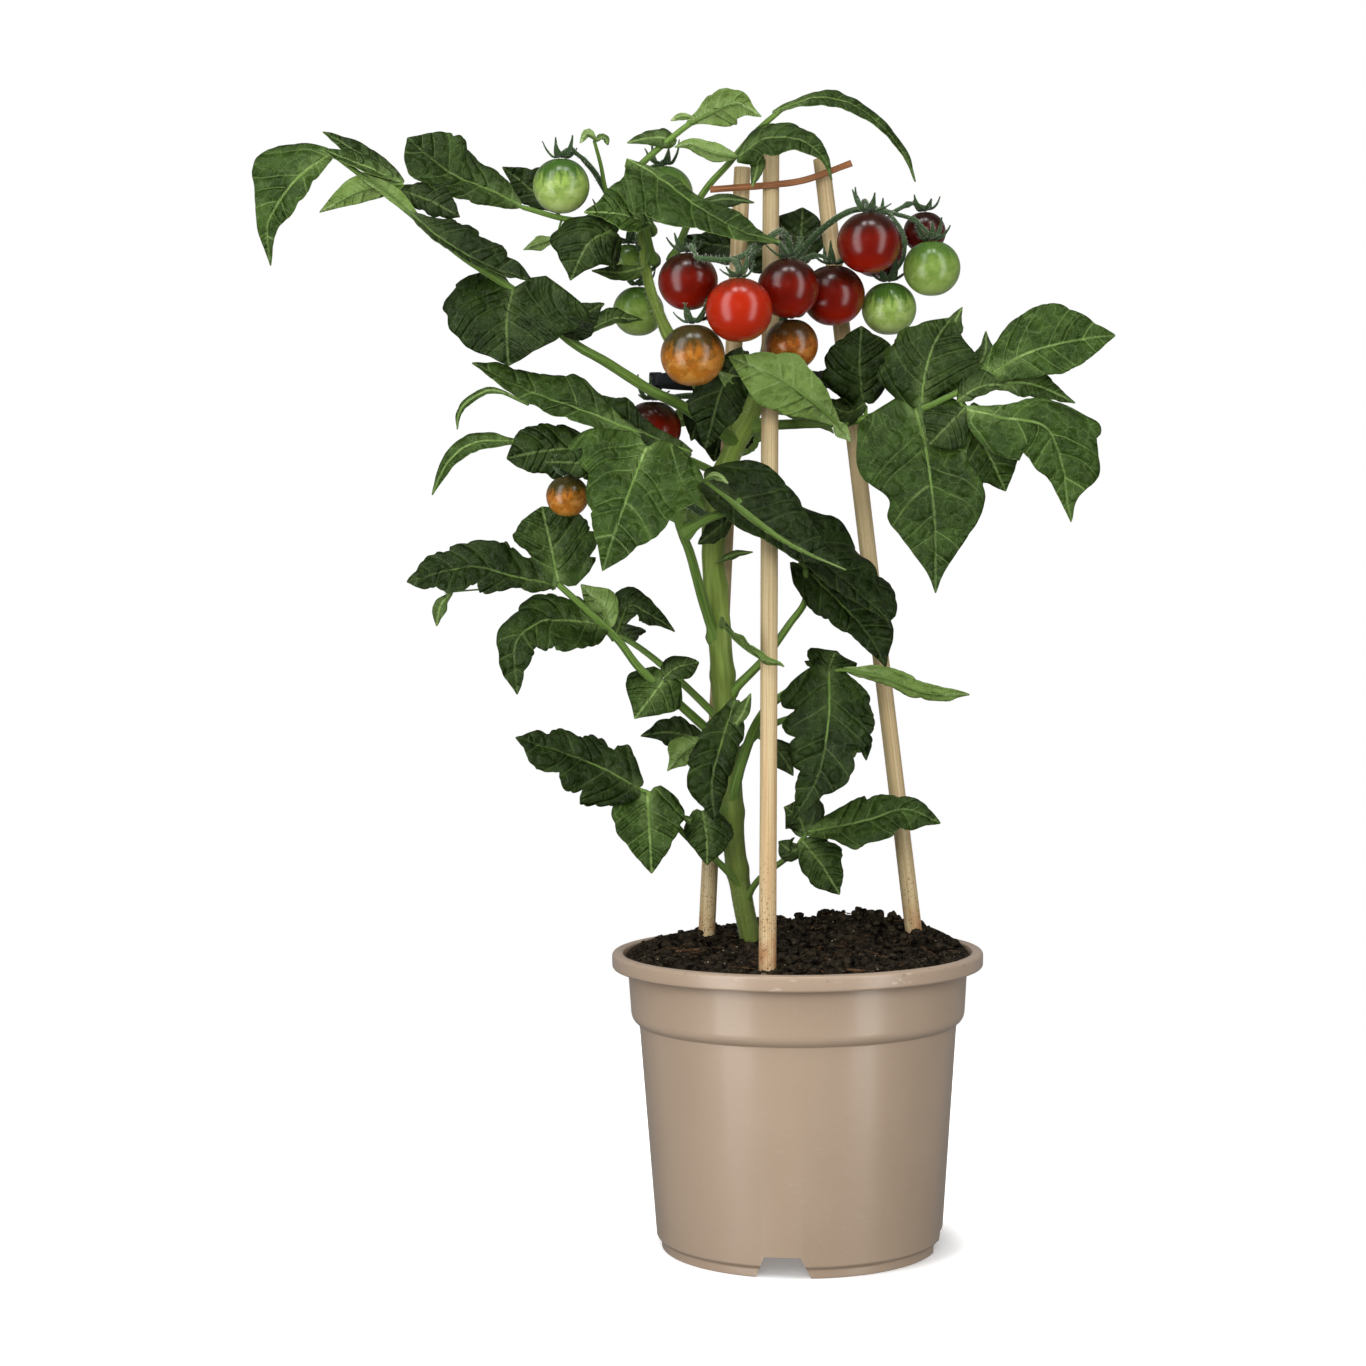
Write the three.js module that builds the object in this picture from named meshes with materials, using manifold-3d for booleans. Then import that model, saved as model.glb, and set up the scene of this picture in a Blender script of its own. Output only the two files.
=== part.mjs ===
// A cherry tomato plant tied to three canes in a round nursery pot.
// Units are millimetres, +Z is up, and -Y is the front of the plant.
// The origin is the middle of the whole plant's footprint, on the surface the pot stands on.
import * as THREE from 'three';
import { mergeVertices } from 'three/addons/utils/BufferGeometryUtils.js';
import loadManifold from 'manifold-3d';

const wasm = await loadManifold();
wasm.setup();
const { Manifold, Mesh: SolidMesh } = wasm;

// ---- driving dimensions ----
const GAP = 0.3; // clearance that touching pieces keep
const SMALLEST_EDGE = 0.02; // finer slivers left by a cut are closed up

// pot
const RIM_RADIUS = 95;
const RIM_TOP = 152;
const LIP_BOTTOM = 143.8;
const NECK_RADIUS = 86.9; // under the lip
const NECK_FOOT_RADIUS = 85.6; // at the top of the sloping step
const STEP_TOP = 119.5;
const STEP_BOTTOM = 112.5;
const BODY_TOP_RADIUS = 81.7;
const BODY_BOTTOM_RADIUS = 73.3;
const FOOT_HEIGHT = 5;
const FOOT_RADIUS = 70.9;
const FOOT_WIDTH = 3.4; // flat of the ring that the pot stands on
const WALL = 1.9;
const FLOOR_BOTTOM = 11.5;
const FLOOR_TOP = 13.5;
const POT_SIDES = 28;
const NOTCH = { count: 4, firstAngle: -99, bottomWidth: 27, topWidth: 18, height: 11, depth: 16 };
const DRAIN_HOLE = { radius: 5, distance: 56, sides: 8 };

// soil: a gentle slope with a mound towards the back right and a dip around the stem
const SOIL_LEVEL = 151.5;
const SOIL_SLOPE = 0.05;
const SOIL_EDGE_FALL = 3;
const MOUND = { x: 30, y: 50, spreadX: 48, spreadY: 35, height: 8 };
const DIP = { x: -25, y: 28, spreadX: 20, spreadY: 20, height: -2.5 };

// canes: foot and top of each, pushed into the soil
const CANE_RADIUS = 4.5;
const CANE_SIDES = 8;
const CANE_DEPTH = 45; // length below the top of the soil
const CANES = {
  cane_front: { foot: [-17, -53, 147], top: [-9, 26, 566] },
  cane_left: { foot: [-46, 46, 153], top: [-24, 26, 556] },
  cane_right: { foot: [62.6, 28, 156], top: [17, 26, 560] },
};
const REED = {
  path: [[-41, 15.5, 547], [-25, 15.5, 548], [-11, 15.5, 549], [8, 15.5, 551], [32, 16, 560]],
  radius: 2,
};

// black plastic hoop around the stem, two canes and a shoot
const HOOP = { x: -26, y: 25, z: 442, radiusX: 45, radiusY: 36, band: 1.6, height: 8, sides: 20 };
const CLASP = { width: 7, depth: 5, height: 9 };

// stem: the leader, the shoot that leaves it on the left, and the roots
const STEM = [
  [-22, 32, 120], [-23, 32, 150], [-27, 28, 174], [-31, 25, 200], [-33, 25, 240], [-36, 24, 282],
  [-39, 24, 330], [-41, 24, 356], [-37, 24, 390], [-29, 24, 412], [-20, 24, 430], [-15, 26, 445],
  [-9, 30, 466], [-7, 34, 490],
];
const STEM_RADII = [5.2, 6.4, 3.2]; // below the soil, in the middle, at the top
const SHOOT = [
  [-28, 24, 414], [-45, 27, 440], [-56, 28, 456], [-66, 28, 476], [-73, 28, 496], [-76, 26, 516],
  [-77, 24, 536],
];
const SHOOT_RADII = [4.2, 2.6];
const ROOT_RADII = [2.6, 1.2];
const ROOTS = [
  [[-22, 32, 134], [-8, 24, 122], [8, 10, 104]],
  [[-22, 32, 132], [-34, 20, 118], [-46, -2, 96]],
  [[-22, 32, 128], [-16, 46, 110], [-8, 56, 86]],
];

// fruit trusses: the stalk of each and the short stems that end at a fruit
const TRUSS_RADII = [2, 1.4];
const PEDICEL_RADII = [1.3, 1.1];
const PEDICEL_ARCH = { share: 0.6, rise: 5 }; // where a pedicel is highest, and by how much
const CALYX = {
  points: 5, tipRadius: 8, notchRadius: 3, thickness: 1.4, rise: 1.6, gap: 0.5, fruitShare: 0.6,
};
const TRUSSES = {
  truss_right: {
    stalk: [[-7, 34, 488], [-1, 30, 507], [10, 18, 522], [25, 4, 532], [36, 0, 536], [52, 14, 533]],
    fruits: ['tomato_10', 'tomato_11', 'tomato_12', 'tomato_13', 'tomato_14'],
    routes: { tomato_14: [[50, 13, 533], [57, 4, 520], [57, 1, 506]] },
  },
  truss_centre: {
    stalk: [
      [-9, 30, 466], [2, 16, 490], [0, 4, 508], [-5, -6, 518], [-16, -22, 510], [-30, -38, 500],
      [-48, -42, 500],
    ],
    fruits: ['tomato_06', 'tomato_07', 'tomato_08', 'tomato_09', 'tomato_15', 'tomato_16'],
    routes: {
      tomato_15: [[-16, -22, 510], [-31, -22, 488], [-41, -26, 474]],
      tomato_16: [[2, 16, 490], [2, 6, 482]],
    },
  },
  truss_left: {
    stalk: [[-76, 26, 514], [-82, 38, 525], [-92, 34, 540], [-100, 18, 552], [-106, 8, 558]],
    fruits: ['tomato_01', 'tomato_02', 'tomato_03', 'tomato_04', 'tomato_05'],
    routes: { tomato_05: [[-77, 29, 517], [-68, 36, 510]] },
  },
  truss_low: {
    stalk: [[-44, 27, 437], [-52, 26, 438], [-60, 25, 437.5]],
    fruits: ['tomato_17'],
    routes: { tomato_17: [[-60, 25, 437.5], [-66, 25, 438.5]] },
  },
  truss_lowest: {
    stalk: [[-39, 24, 372], [-66, -2, 388], [-92, -34, 400], [-108, -48, 402]],
    fruits: ['tomato_18'],
  },
};
const FRUIT_SQUASH = 0.97; // height over width
const FRUIT_ROWS = 6;
const FRUIT_SIDES = 10;
const FRUITS = {
  tomato_01: { centre: [-117, 0, 543], radius: 14.5, finish: 'green' },
  tomato_02: { centre: [-65, 42, 545], radius: 15.5, finish: 'green' },
  tomato_03: { centre: [-96, 32, 528], radius: 8.0, finish: 'green' },
  tomato_04: { centre: [-84, 38, 509], radius: 10.0, finish: 'green' },
  tomato_05: { centre: [-79, 42, 484], radius: 13.5, finish: 'green' },
  tomato_06: { centre: [-53, -24, 491], radius: 15.0, finish: 'red' },
  tomato_07: { centre: [-28, -46, 474], radius: 16.5, finish: 'red' },
  tomato_08: { centre: [-3, -26, 487], radius: 15.5, finish: 'red' },
  tomato_09: { centre: [21, -2, 486], radius: 16.0, finish: 'red' },
  tomato_10: { centre: [38, -20, 510], radius: 16.0, finish: 'red' },
  tomato_11: { centre: [45, 18, 512], radius: 15.0, finish: 'red' },
  tomato_12: { centre: [70, 22, 521], radius: 11.0, finish: 'red' },
  tomato_13: { centre: [71, -4, 499], radius: 14.5, finish: 'green' },
  tomato_14: { centre: [50, 6, 480], radius: 14.0, finish: 'green' },
  tomato_15: { centre: [-51, -36, 453], radius: 16.0, finish: 'amber' },
  tomato_16: { centre: [-1, -14, 460], radius: 13.5, finish: 'amber' },
  tomato_17: { centre: [-72, 24, 421], radius: 15.0, finish: 'red' },
  tomato_18: { centre: [-113, -54, 383], radius: 10.5, finish: 'amber' },
};

// leaves: the stalk of each and its leaflets, whose upper side looks along face
const OUTWARD = [0, -1, 0.35];
const UPWARD = [0, -0.7, 0.7];
const TURNED_OVER = [0, 1, 0.3];
const LEAVES = {
  leaf_upper_left: {
    stalk: [[-28, 24, 411], [-47, 11, 419], [-75, -2, 434], [-94, -10, 451], [-113, -18, 463], [-139, -28,
      486], [-166, -35, 504], [-195, -40, 528], [-228, -45, 553]],
    radii: [3.4, 1.2],
    leaflets: [
      { rib: [[-230, -45, 554], [-247, -52, 538], [-258, -58, 516], [-256, -60, 496]], face: [-0.2, -1,
        0.3],
        left: [6, 9, 6], right: [15, 10, 5] },
      { rib: [[-199, -42, 541], [-216, -47, 554], [-231, -50, 563]], face: UPWARD,
        left: [4, 4], right: [5, 5] },
      { rib: [[-193, -40, 539], [-211, -45, 534], [-234, -48, 523]], face: TURNED_OVER,
        left: [7, 5], right: [5, 4] },
      { rib: [[-196, -44, 531], [-179, -47, 514], [-155, -45, 499], [-130, -40, 490]], face: [0.2, -0.8,
        0.6],
        left: [10, 14, 9], right: [3, 4, 3] },
      { rib: [[-196, -34, 536], [-181, -30, 533], [-167, -28, 525]], face: OUTWARD,
        left: [7, 6], right: [5, 4] },
      { rib: [[-139, -30, 489], [-143, -38, 470], [-142, -42, 447]], face: [0, -1, 0.2],
        left: [18, 33, 24], right: [28, 31, 17] },
      { rib: [[-123, -26, 479], [-109, -24, 475], [-95, -20, 481]], face: OUTWARD,
        left: [6, 6, 4], right: [7, 8, 4] },
      { rib: [[-106, -16, 466], [-91, -12, 474], [-76, -8, 474]], face: UPWARD,
        left: [7, 6], right: [4, 4] },
    ],
  },
  leaf_top_left: {
    stalk: [[-72, 24, 523], [-75, 12, 529], [-91, 6, 527], [-112, 2, 526], [-136, -8, 531]],
    radii: [2.4, 1.3],
    leaflets: [
      { rib: [[-136, -8, 532], [-152, -15, 538], [-169, -22, 545], [-184, -26, 555], [-193, -28, 562]],
        face: [0, -0.85, 0.5],
        left: [12, 16, 13], right: [8, 16, 12] },
      { rib: [[-145, -2, 543], [-152, 0, 548], [-159, 2, 553]], face: UPWARD,
        left: [3, 2], right: [3, 2] },
      { rib: [[-125, 14, 535], [-136, 20, 546], [-147, 16, 550]], face: OUTWARD,
        left: [3, 4, 2], right: [7, 10, 5] },
      { rib: [[-92, -4, 519], [-103, -12, 510], [-112, -18, 492]], face: [0.1, -1, 0.2],
        left: [13, 10, 5], right: [12, 16, 9] },
      { rib: [[-120, 4, 517], [-128, 6, 515], [-137, 8, 512]], face: TURNED_OVER,
        left: [3, 3], right: [3, 3] },
    ],
  },
  leaf_crown_mid: {
    stalk: [[-71, 26, 508], [-73, 14, 517], [-77, 0, 533], [-83, -8, 552]],
    radii: [2.2, 1.6],
    leaflets: [
      { rib: [[-83, -8, 555], [-65, -15, 543], [-47, -22, 528], [-27, -27, 516], [-6, -29, 509]],
        face: [0.15, -0.75, 0.65],
        left: [4, 6, 8], right: [24, 18, 9] },
      { rib: [[-77, -4, 542], [-87, -7, 535], [-101, -8, 526]], face: [0, -0.8, 0.6],
        left: [6, 6], right: [6, 5] },
      { rib: [[-47, -4, 533], [-33, -6, 535], [-19, -8, 532]], face: OUTWARD,
        left: [2, 2], right: [3, 3] },
      { rib: [[-75, 12, 503], [-88, 8, 500], [-102, 6, 501]], face: OUTWARD,
        left: [4, 4], right: [3, 3] },
    ],
  },
  leaf_crown_pale: {
    stalk: [[-76, 24, 526], [-89, 6, 539], [-75, 2, 555], [-57, 2, 570], [-50, 2, 575]],
    radii: [2.2, 1.5],
    leaflets: [
      { rib: [[-51, 2, 574], [-38, -2, 581], [-26, -5, 582], [-15, -6, 576]], face: TURNED_OVER,
        left: [6, 10, 6], right: [5, 6, 3] },
      { rib: [[-49, 2, 577], [-55, 2, 578], [-61, 2, 576]], face: TURNED_OVER,
        left: [2, 2], right: [2, 2] },
      { rib: [[-56, 4, 566], [-69, 0, 567], [-83, -4, 564]], face: OUTWARD,
        left: [4, 3], right: [3, 3] },
    ],
  },
  leaf_crown_tall: {
    stalk: [[-61, 30, 508], [-46, 22, 540], [-31, 12, 556], [-18, 6, 570], [-5, 4, 581]],
    radii: [2.3, 1.4],
    leaflets: [
      { rib: [[-27, 2, 557], [-13, -6, 565], [4, -12, 563], [15, -16, 554], [20, -17, 542]], face: UPWARD,
        left: [7, 9, 5], right: [10, 10, 3] },
      { rib: [[-27, 2, 557], [-40, 0, 561], [-51, 2, 564], [-58, 4, 563]], face: UPWARD,
        left: [7, 5], right: [4, 4] },
      { rib: [[-17, -2, 564], [-17, -4, 552], [-20, -4, 541]], face: OUTWARD,
        left: [3, 3], right: [3, 3] },
      { rib: [[-9, 4, 580], [13, 2, 587], [31, 4, 584], [46, 8, 574], [58, 12, 561], [65, 15, 546]],
        face: UPWARD,
        left: [7, 4], right: [6, 3] },
    ],
  },
  sprout: {
    stalk: [[-77, 22, 525], [-87, 18, 536], [-94, 14, 541], [-97, 8, 555], [-100, 2, 566]],
    radii: [1.6, 0.9],
    leaflets: [
      { rib: [[-99, 0, 566], [-103, -2, 569], [-107, -4, 564]], face: TURNED_OVER,
        left: [2, 2], right: [2, 2] },
      { rib: [[-99, 0, 566], [-95, 2, 568], [-93, 3, 564]], face: UPWARD,
        left: [2, 2], right: [2, 2] },
    ],
  },
  leaf_right: {
    stalk: [[-20, 24, 422], [4, 13, 422], [27, 3, 422], [46, -8, 425], [63, -28, 426], [77, -32, 432], [94,
      -34, 440]],
    radii: [3.0, 1.4],
    leaflets: [
      { rib: [[63, -30, 424], [65, -42, 395], [67, -50, 367], [67, -54, 334]], face: [0, -1, 0.25],
        left: [20, 27, 17], right: [33, 30, 15] },
      { rib: [[64, -26, 429], [65, -28, 444], [70, -25, 460], [79, -20, 473]], face: [0, -0.8, 0.6],
        left: [16, 17, 11], right: [15, 22, 14] },
      { rib: [[94, -34, 440], [112, -40, 452], [133, -44, 458], [157, -46, 460]], face: [0.1, -1, 0.3],
        left: [13, 20, 13], right: [9, 14, 10] },
      { rib: [[83, -34, 428], [102, -45, 420], [119, -51, 412], [130, -55, 395], [134, -57, 368]],
        face: [0.1, -1, 0.3],
        left: [12, 22, 15], right: [8, 15, 8] },
      { rib: [[90, -30, 424], [96, -38, 407], [104, -42, 384]], face: [0, -1, 0.2],
        left: [10, 12, 7], right: [11, 14, 8] },
      { rib: [[69, -16, 425], [78, -14, 411], [87, -12, 394]], face: OUTWARD,
        left: [8, 10, 5], right: [7, 8, 5] },
      { rib: [[95, -36, 437], [115, -44, 439], [136, -50, 427]], face: OUTWARD,
        left: [5, 4], right: [4, 4] },
      { rib: [[35, 0, 432], [34, -6, 447], [34, -8, 458], [38, -6, 471]], face: [0, -1, 0.2],
        left: [12, 16, 12], right: [12, 18, 15] },
      { rib: [[77, -12, 457], [80, -10, 467], [86, -8, 479]], face: OUTWARD,
        left: [5, 4], right: [5, 4] },
      { rib: [[28, -8, 417], [7, -22, 433], [-12, -27, 445], [-32, -28, 453]], face: [0, 1, 0.2],
        left: [10, 10, 7], right: [5, 10, 9] },
      { rib: [[37, -2, 431], [27, 2, 427], [16, 6, 433]], face: OUTWARD,
        left: [6, 6], right: [4, 4] },
    ],
  },
  leaf_front: {
    stalk: [[-40, 24, 311], [-47, 8, 333], [-53, -10, 355], [-58, -26, 368], [-64, -42, 391], [-73, -52,
      406]],
    fork: [[-56, -24, 366], [-45, -30, 372], [-34, -32, 376], [-28, -34, 381]],
    radii: [3.2, 1.8],
    leaflets: [
      { rib: [[-73, -52, 407], [-80, -68, 387], [-88, -84, 365], [-94, -94, 346]], face: OUTWARD,
        left: [32, 24, 14], right: [36, 23, 13] },
      { rib: [[-46, -34, 391], [-17, -37, 369], [4, -37, 356], [24, -34, 346]], face: [0.2, -0.9, 0.5],
        left: [27, 23, 11], right: [8, 9, 5] },
      { rib: [[-31, -20, 374], [-40, -16, 367], [-49, -12, 360]], face: OUTWARD,
        left: [5, 4], right: [5, 3] },
    ],
  },
  leaf_right_low: {
    stalk: [[-34, 24, 282], [-16, 16, 300], [-2, 10, 319], [6, 6, 331], [6, 0, 347]],
    radii: [2.8, 1.6],
    leaflets: [
      { rib: [[-18, 0, 381], [4, -10, 359], [27, -18, 339], [47, -22, 320]], face: [0.3, -0.8, 0.5],
        left: [19, 25, 15], right: [8, 9, 5] },
      { rib: [[3, 4, 350], [22, -2, 331], [36, -7, 315], [46, -10, 297]], face: [0.2, -1, 0.3],
        left: [14, 22, 14], right: [8, 8, 5] },
      { rib: [[-39, 12, 352], [-30, 6, 355], [-21, 2, 356]], face: OUTWARD,
        left: [2, 2], right: [2, 2] },
    ],
  },
  leaf_left_mid: {
    stalk: [[-34, 26, 395], [-53, 0, 403], [-78, -20, 409], [-103, -24, 409], [-141, -28, 412]],
    radii: [2.4, 1.2],
    leaflets: [
      { rib: [[-78, -34, 417], [-102, -34, 426], [-132, -35, 437], [-160, -40, 449]], face: [-0.1, -0.8,
        0.6],
        left: [9, 9, 5], right: [14, 14, 6] },
      { rib: [[-62, -18, 411], [-83, -24, 425], [-103, -26, 436]], face: OUTWARD,
        left: [7, 8, 5], right: [7, 9, 5] },
      { rib: [[-150, -30, 436], [-162, -28, 433], [-168, -28, 426], [-169, -28, 418]], face: OUTWARD,
        left: [2, 2], right: [2, 2] },
      { rib: [[-141, -26, 413], [-162, -32, 411], [-174, -36, 401], [-181, -38, 385]], face: UPWARD,
        left: [5, 3], right: [5, 3] },
      { rib: [[-102, -22, 409], [-123, -30, 407], [-144, -34, 403]], face: [0, -1, 0.25],
        left: [14, 12, 9], right: [9, 12, 11] },
    ],
  },
  leaf_left_low: {
    stalk: [[-38, 22, 258], [-61, 2, 280], [-79, -10, 297], [-90, -20, 312], [-104, -27, 326], [-119, -32,
      340]],
    radii: [2.8, 1.6],
    leaflets: [
      { rib: [[-119, -33, 341], [-123, -34, 362], [-127, -32, 379]], face: [0, -1, 0.3],
        left: [8, 12, 15], right: [21, 23, 16] },
      { rib: [[-120, -32, 340], [-140, -40, 344], [-162, -48, 349], [-192, -56, 342]], face: [0, -0.9, 0.5],
        left: [10, 15, 12], right: [14, 14, 9] },
      { rib: [[-170, -51, 337], [-176, -53, 330], [-178, -54, 320]], face: OUTWARD,
        left: [3, 3], right: [3, 3] },
      { rib: [[-97, -24, 320], [-116, -35, 322], [-129, -41, 321], [-140, -47, 310], [-139, -51, 286]],
        face: [0, -0.9, 0.5],
        left: [18, 15, 8], right: [14, 13, 7] },
      { rib: [[-96, -22, 319], [-100, -24, 329], [-108, -26, 340]], face: TURNED_OVER,
        left: [6, 5], right: [7, 5] },
      { rib: [[-91, -18, 314], [-83, -18, 328], [-73, -12, 324], [-61, -8, 316]], face: UPWARD,
        left: [6, 6], right: [6, 5] },
      { rib: [[-66, -6, 291], [-74, -11, 281], [-82, -15, 271]], face: [0, -1, 0.4],
        left: [13, 11, 5], right: [17, 14, 7] },
      { rib: [[-69, -5, 293], [-60, -4, 298], [-47, -2, 299]], face: UPWARD,
        left: [5, 5], right: [6, 7] },
    ],
  },
  leaf_left_bottom: {
    stalk: [[-27, 26, 181], [-40, 12, 196], [-53, 4, 207], [-62, -1, 217], [-76, -8, 234]],
    radii: [2.2, 1.3],
    leaflets: [
      { rib: [[-78, -8, 235], [-100, -18, 248], [-119, -26, 256], [-141, -32, 264]], face: [0, -0.9, 0.5],
        left: [18, 21, 13], right: [14, 13, 9] },
      { rib: [[-76, -8, 233], [-75, -15, 214], [-74, -21, 193]], face: [0, -1, 0.3],
        left: [18, 15, 6], right: [16, 15, 7] },
    ],
  },
  leaf_stem_small: {
    stalk: [[-32, 24, 213], [-40, 6, 219], [-47, -4, 223]],
    radii: [1.4, 1.0],
    leaflets: [
      { rib: [[-48, -4, 224], [-46, -10, 211], [-46, -13, 196]], face: [0, -1, 0.3],
        left: [12, 12, 7], right: [8, 8, 5] },
      { rib: [[-48, -4, 222], [-53, -6, 219], [-59, -7, 222]], face: OUTWARD,
        left: [2, 2], right: [2, 2] },
    ],
  },
  leaf_stem_front: {
    stalk: [[-33, 24, 270], [-32, 10, 274], [-31, 0, 279]],
    radii: [1.6, 1.3],
    leaflets: [
      { rib: [[-31, 0, 280], [-38, -10, 259], [-43, -16, 240], [-42, -18, 220]], face: [-0.1, -1, 0.3],
        left: [9, 10, 7], right: [10, 14, 9] },
      { rib: [[-32, -6, 266], [-27, -8, 274], [-23, -9, 284]], face: OUTWARD,
        left: [3, 3], right: [3, 3] },
    ],
  },
  leaf_stem_back: {
    stalk: [[-35, 26, 248], [-42, 34, 254], [-50, 40, 259]],
    radii: [1.6, 1.3],
    leaflets: [
      { rib: [[-49, 40, 259], [-65, 44, 262], [-80, 46, 261]], face: OUTWARD,
        left: [5, 4], right: [6, 5] },
      { rib: [[-48, 38, 257], [-57, 40, 252], [-66, 42, 243]], face: TURNED_OVER,
        left: [6, 4], right: [6, 4] },
    ],
  },
  side_shoot: {
    stalk: [[-34, 24, 221], [-27, 16, 248], [-17, 9, 272], [-2, 2, 285], [17, -6, 294]],
    radii: [3.4, 1.8],
    leaflets: [
      { rib: [[16, -8, 294], [16, -20, 271], [10, -28, 243], [-3, -31, 221]], face: [0, -1, 0.3],
        left: [9, 16, 14], right: [24, 20, 10] },
      { rib: [[22, -4, 296], [31, -12, 278], [36, -17, 248]], face: [0.2, -1, 0.2],
        left: [6, 7], right: [5, 5] },
      { rib: [[17, -2, 294], [19, 2, 300], [22, 4, 305]], face: UPWARD,
        left: [9, 10, 6], right: [12, 13, 8] },
      { rib: [[24, -8, 296], [45, -14, 292], [66, -19, 284], [87, -21, 283]], face: [0, 0.8, 0.5],
        left: [5, 5], right: [6, 5] },
      { rib: [[-13, 8, 257], [-7, 5, 253], [-1, 4, 242]], face: OUTWARD,
        left: [5, 4], right: [3, 3] },
    ],
  },
  leaf_curl: {
    stalk: [[-37, 24, 317], [-37, 10, 320], [-37, 6, 322]],
    radii: [1.5, 1.2],
    leaflets: [
      { rib: [[-37, 5, 322], [-30, -20, 312], [-19, -41, 303], [-7, -48, 299]], face: [0.3, 0.6, 0.7],
        left: [5, 6], right: [5, 6] },
    ],
  },
  leaf_bottom_right: {
    stalk: [[-26, 27, 174], [-18, 17, 187], [-3, 3, 200], [3, -5, 209]],
    radii: [2.0, 1.3],
    leaflets: [
      { rib: [[6, -7, 213], [34, -15, 219], [54, -19, 225], [72, -21, 218]], face: [0, -0.8, 0.6],
        left: [10, 13, 8], right: [12, 16, 11] },
      { rib: [[4, -5, 211], [2, -6, 220], [-6, -6, 226]], face: [0, -0.8, 0.6],
        left: [6, 7, 5], right: [9, 12, 7] },
      { rib: [[3, -6, 208], [12, -14, 196], [21, -18, 181]], face: OUTWARD,
        left: [10, 10, 6], right: [6, 8, 6] },
      { rib: [[2, -4, 205], [-3, -4, 203], [-9, -4, 208]], face: OUTWARD,
        left: [4, 3], right: [6, 5] },
    ],
  },
  leaf_shade: {
    stalk: [[-25, 30, 437], [-27, 36, 441], [-30, 42, 443]],
    radii: [1.6, 1.4],
    leaflets: [
      { rib: [[-30, 42, 444], [-35, 46, 427], [-39, 48, 407]], face: OUTWARD,
        left: [11, 14, 9], right: [10, 14, 9] },
    ],
  },
  leaf_crown_back: {
    stalk: [[-18, 34, 436], [-11, 46, 474], [1, 54, 506], [7, 58, 514]],
    radii: [1.8, 1.2],
    leaflets: [
      { rib: [[7, 58, 513], [9, 62, 526], [11, 64, 538]], face: OUTWARD,
        left: [9, 12, 9], right: [6, 10, 9] },
      { rib: [[5, 54, 506], [-9, 60, 512], [-27, 64, 514]], face: OUTWARD,
        left: [7, 6], right: [7, 6] },
    ],
  },
  leaf_back_high: {
    stalk: [[-21, 26, 420], [-20, 50, 430], [-22, 78, 437], [-26, 104, 436]],
    radii: [2.6, 1.5],
    leaflets: [
      { rib: [[-26, 104, 436], [-28, 126, 428], [-30, 146, 410]], face: [0, 0.5, 0.85],
        left: [14, 21, 14], right: [16, 22, 14] },
      { rib: [[-21, 68, 435], [4, 78, 435], [26, 88, 422]], face: [0.3, 0.5, 0.8],
        left: [10, 13, 8], right: [10, 13, 8] },
      { rib: [[-22, 74, 437], [-46, 86, 437], [-66, 96, 424]], face: [-0.3, 0.5, 0.8],
        left: [10, 13, 8], right: [10, 13, 8] },
    ],
  },
  leaf_back_mid: {
    stalk: [[-40, 26, 368], [-49, 50, 388], [-50, 84, 398], [-51, 108, 395]],
    radii: [2.8, 1.5],
    leaflets: [
      { rib: [[-50, 108, 395], [-53, 130, 387], [-56, 148, 372]], face: [0, 0.5, 0.85],
        left: [16, 23, 15], right: [16, 21, 14] },
      { rib: [[-49, 66, 395], [-24, 78, 395], [-6, 88, 385]], face: [0.3, 0.5, 0.8],
        left: [9, 12, 8], right: [9, 12, 8] },
      { rib: [[-50, 70, 396], [-66, 82, 395], [-88, 94, 384]], face: [-0.3, 0.5, 0.8],
        left: [10, 13, 8], right: [10, 13, 8] },
    ],
  },
  leaf_back_right: {
    stalk: [[-33, 27, 246], [-16, 46, 262], [4, 70, 268], [20, 92, 262]],
    radii: [2.4, 1.4],
    leaflets: [
      { rib: [[20, 92, 262], [27, 108, 253], [32, 124, 238]], face: [0.2, 0.5, 0.85],
        left: [12, 16, 10], right: [12, 16, 10] },
      { rib: [[10, 78, 267], [28, 84, 271], [43, 90, 263]], face: [0.3, 0.4, 0.85],
        left: [7, 10, 6], right: [7, 10, 6] },
    ],
  },
  leaf_back_left: {
    stalk: [[-37, 26, 268], [-60, 44, 290], [-84, 60, 309], [-110, 76, 321]],
    radii: [2.4, 1.4],
    leaflets: [
      { rib: [[-110, 76, 321], [-122, 86, 326], [-134, 96, 320]], face: [-0.2, 0.6, 0.8],
        left: [9, 12, 7], right: [9, 12, 7] },
      { rib: [[-86, 61, 310], [-92, 84, 318], [-96, 104, 310]], face: [0, 0.5, 0.85],
        left: [10, 13, 8], right: [10, 13, 8] },
    ],
  },
};

// ---- finishes ----
const FINISHES = {
  pot: { color: 0xae967e, roughness: 0.42, metalness: 0 },
  soil: { color: 0x1c1713, roughness: 0.98, metalness: 0 },
  cane: { color: 0xdcbd8c, roughness: 0.6, metalness: 0 },
  reed: { color: 0x7c5233, roughness: 0.7, metalness: 0 },
  hoop: { color: 0x14161a, roughness: 0.45, metalness: 0 },
  stem: { color: 0x66853f, roughness: 0.6, metalness: 0 },
  truss: { color: 0x445c3a, roughness: 0.7, metalness: 0 },
  leaf: { color: 0x36512f, roughness: 0.65, metalness: 0 },
  red: { color: 0x8f1a10, roughness: 0.18, metalness: 0 },
  amber: { color: 0xa2601c, roughness: 0.18, metalness: 0 },
  green: { color: 0x6d8f3f, roughness: 0.2, metalness: 0 },
};

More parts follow.
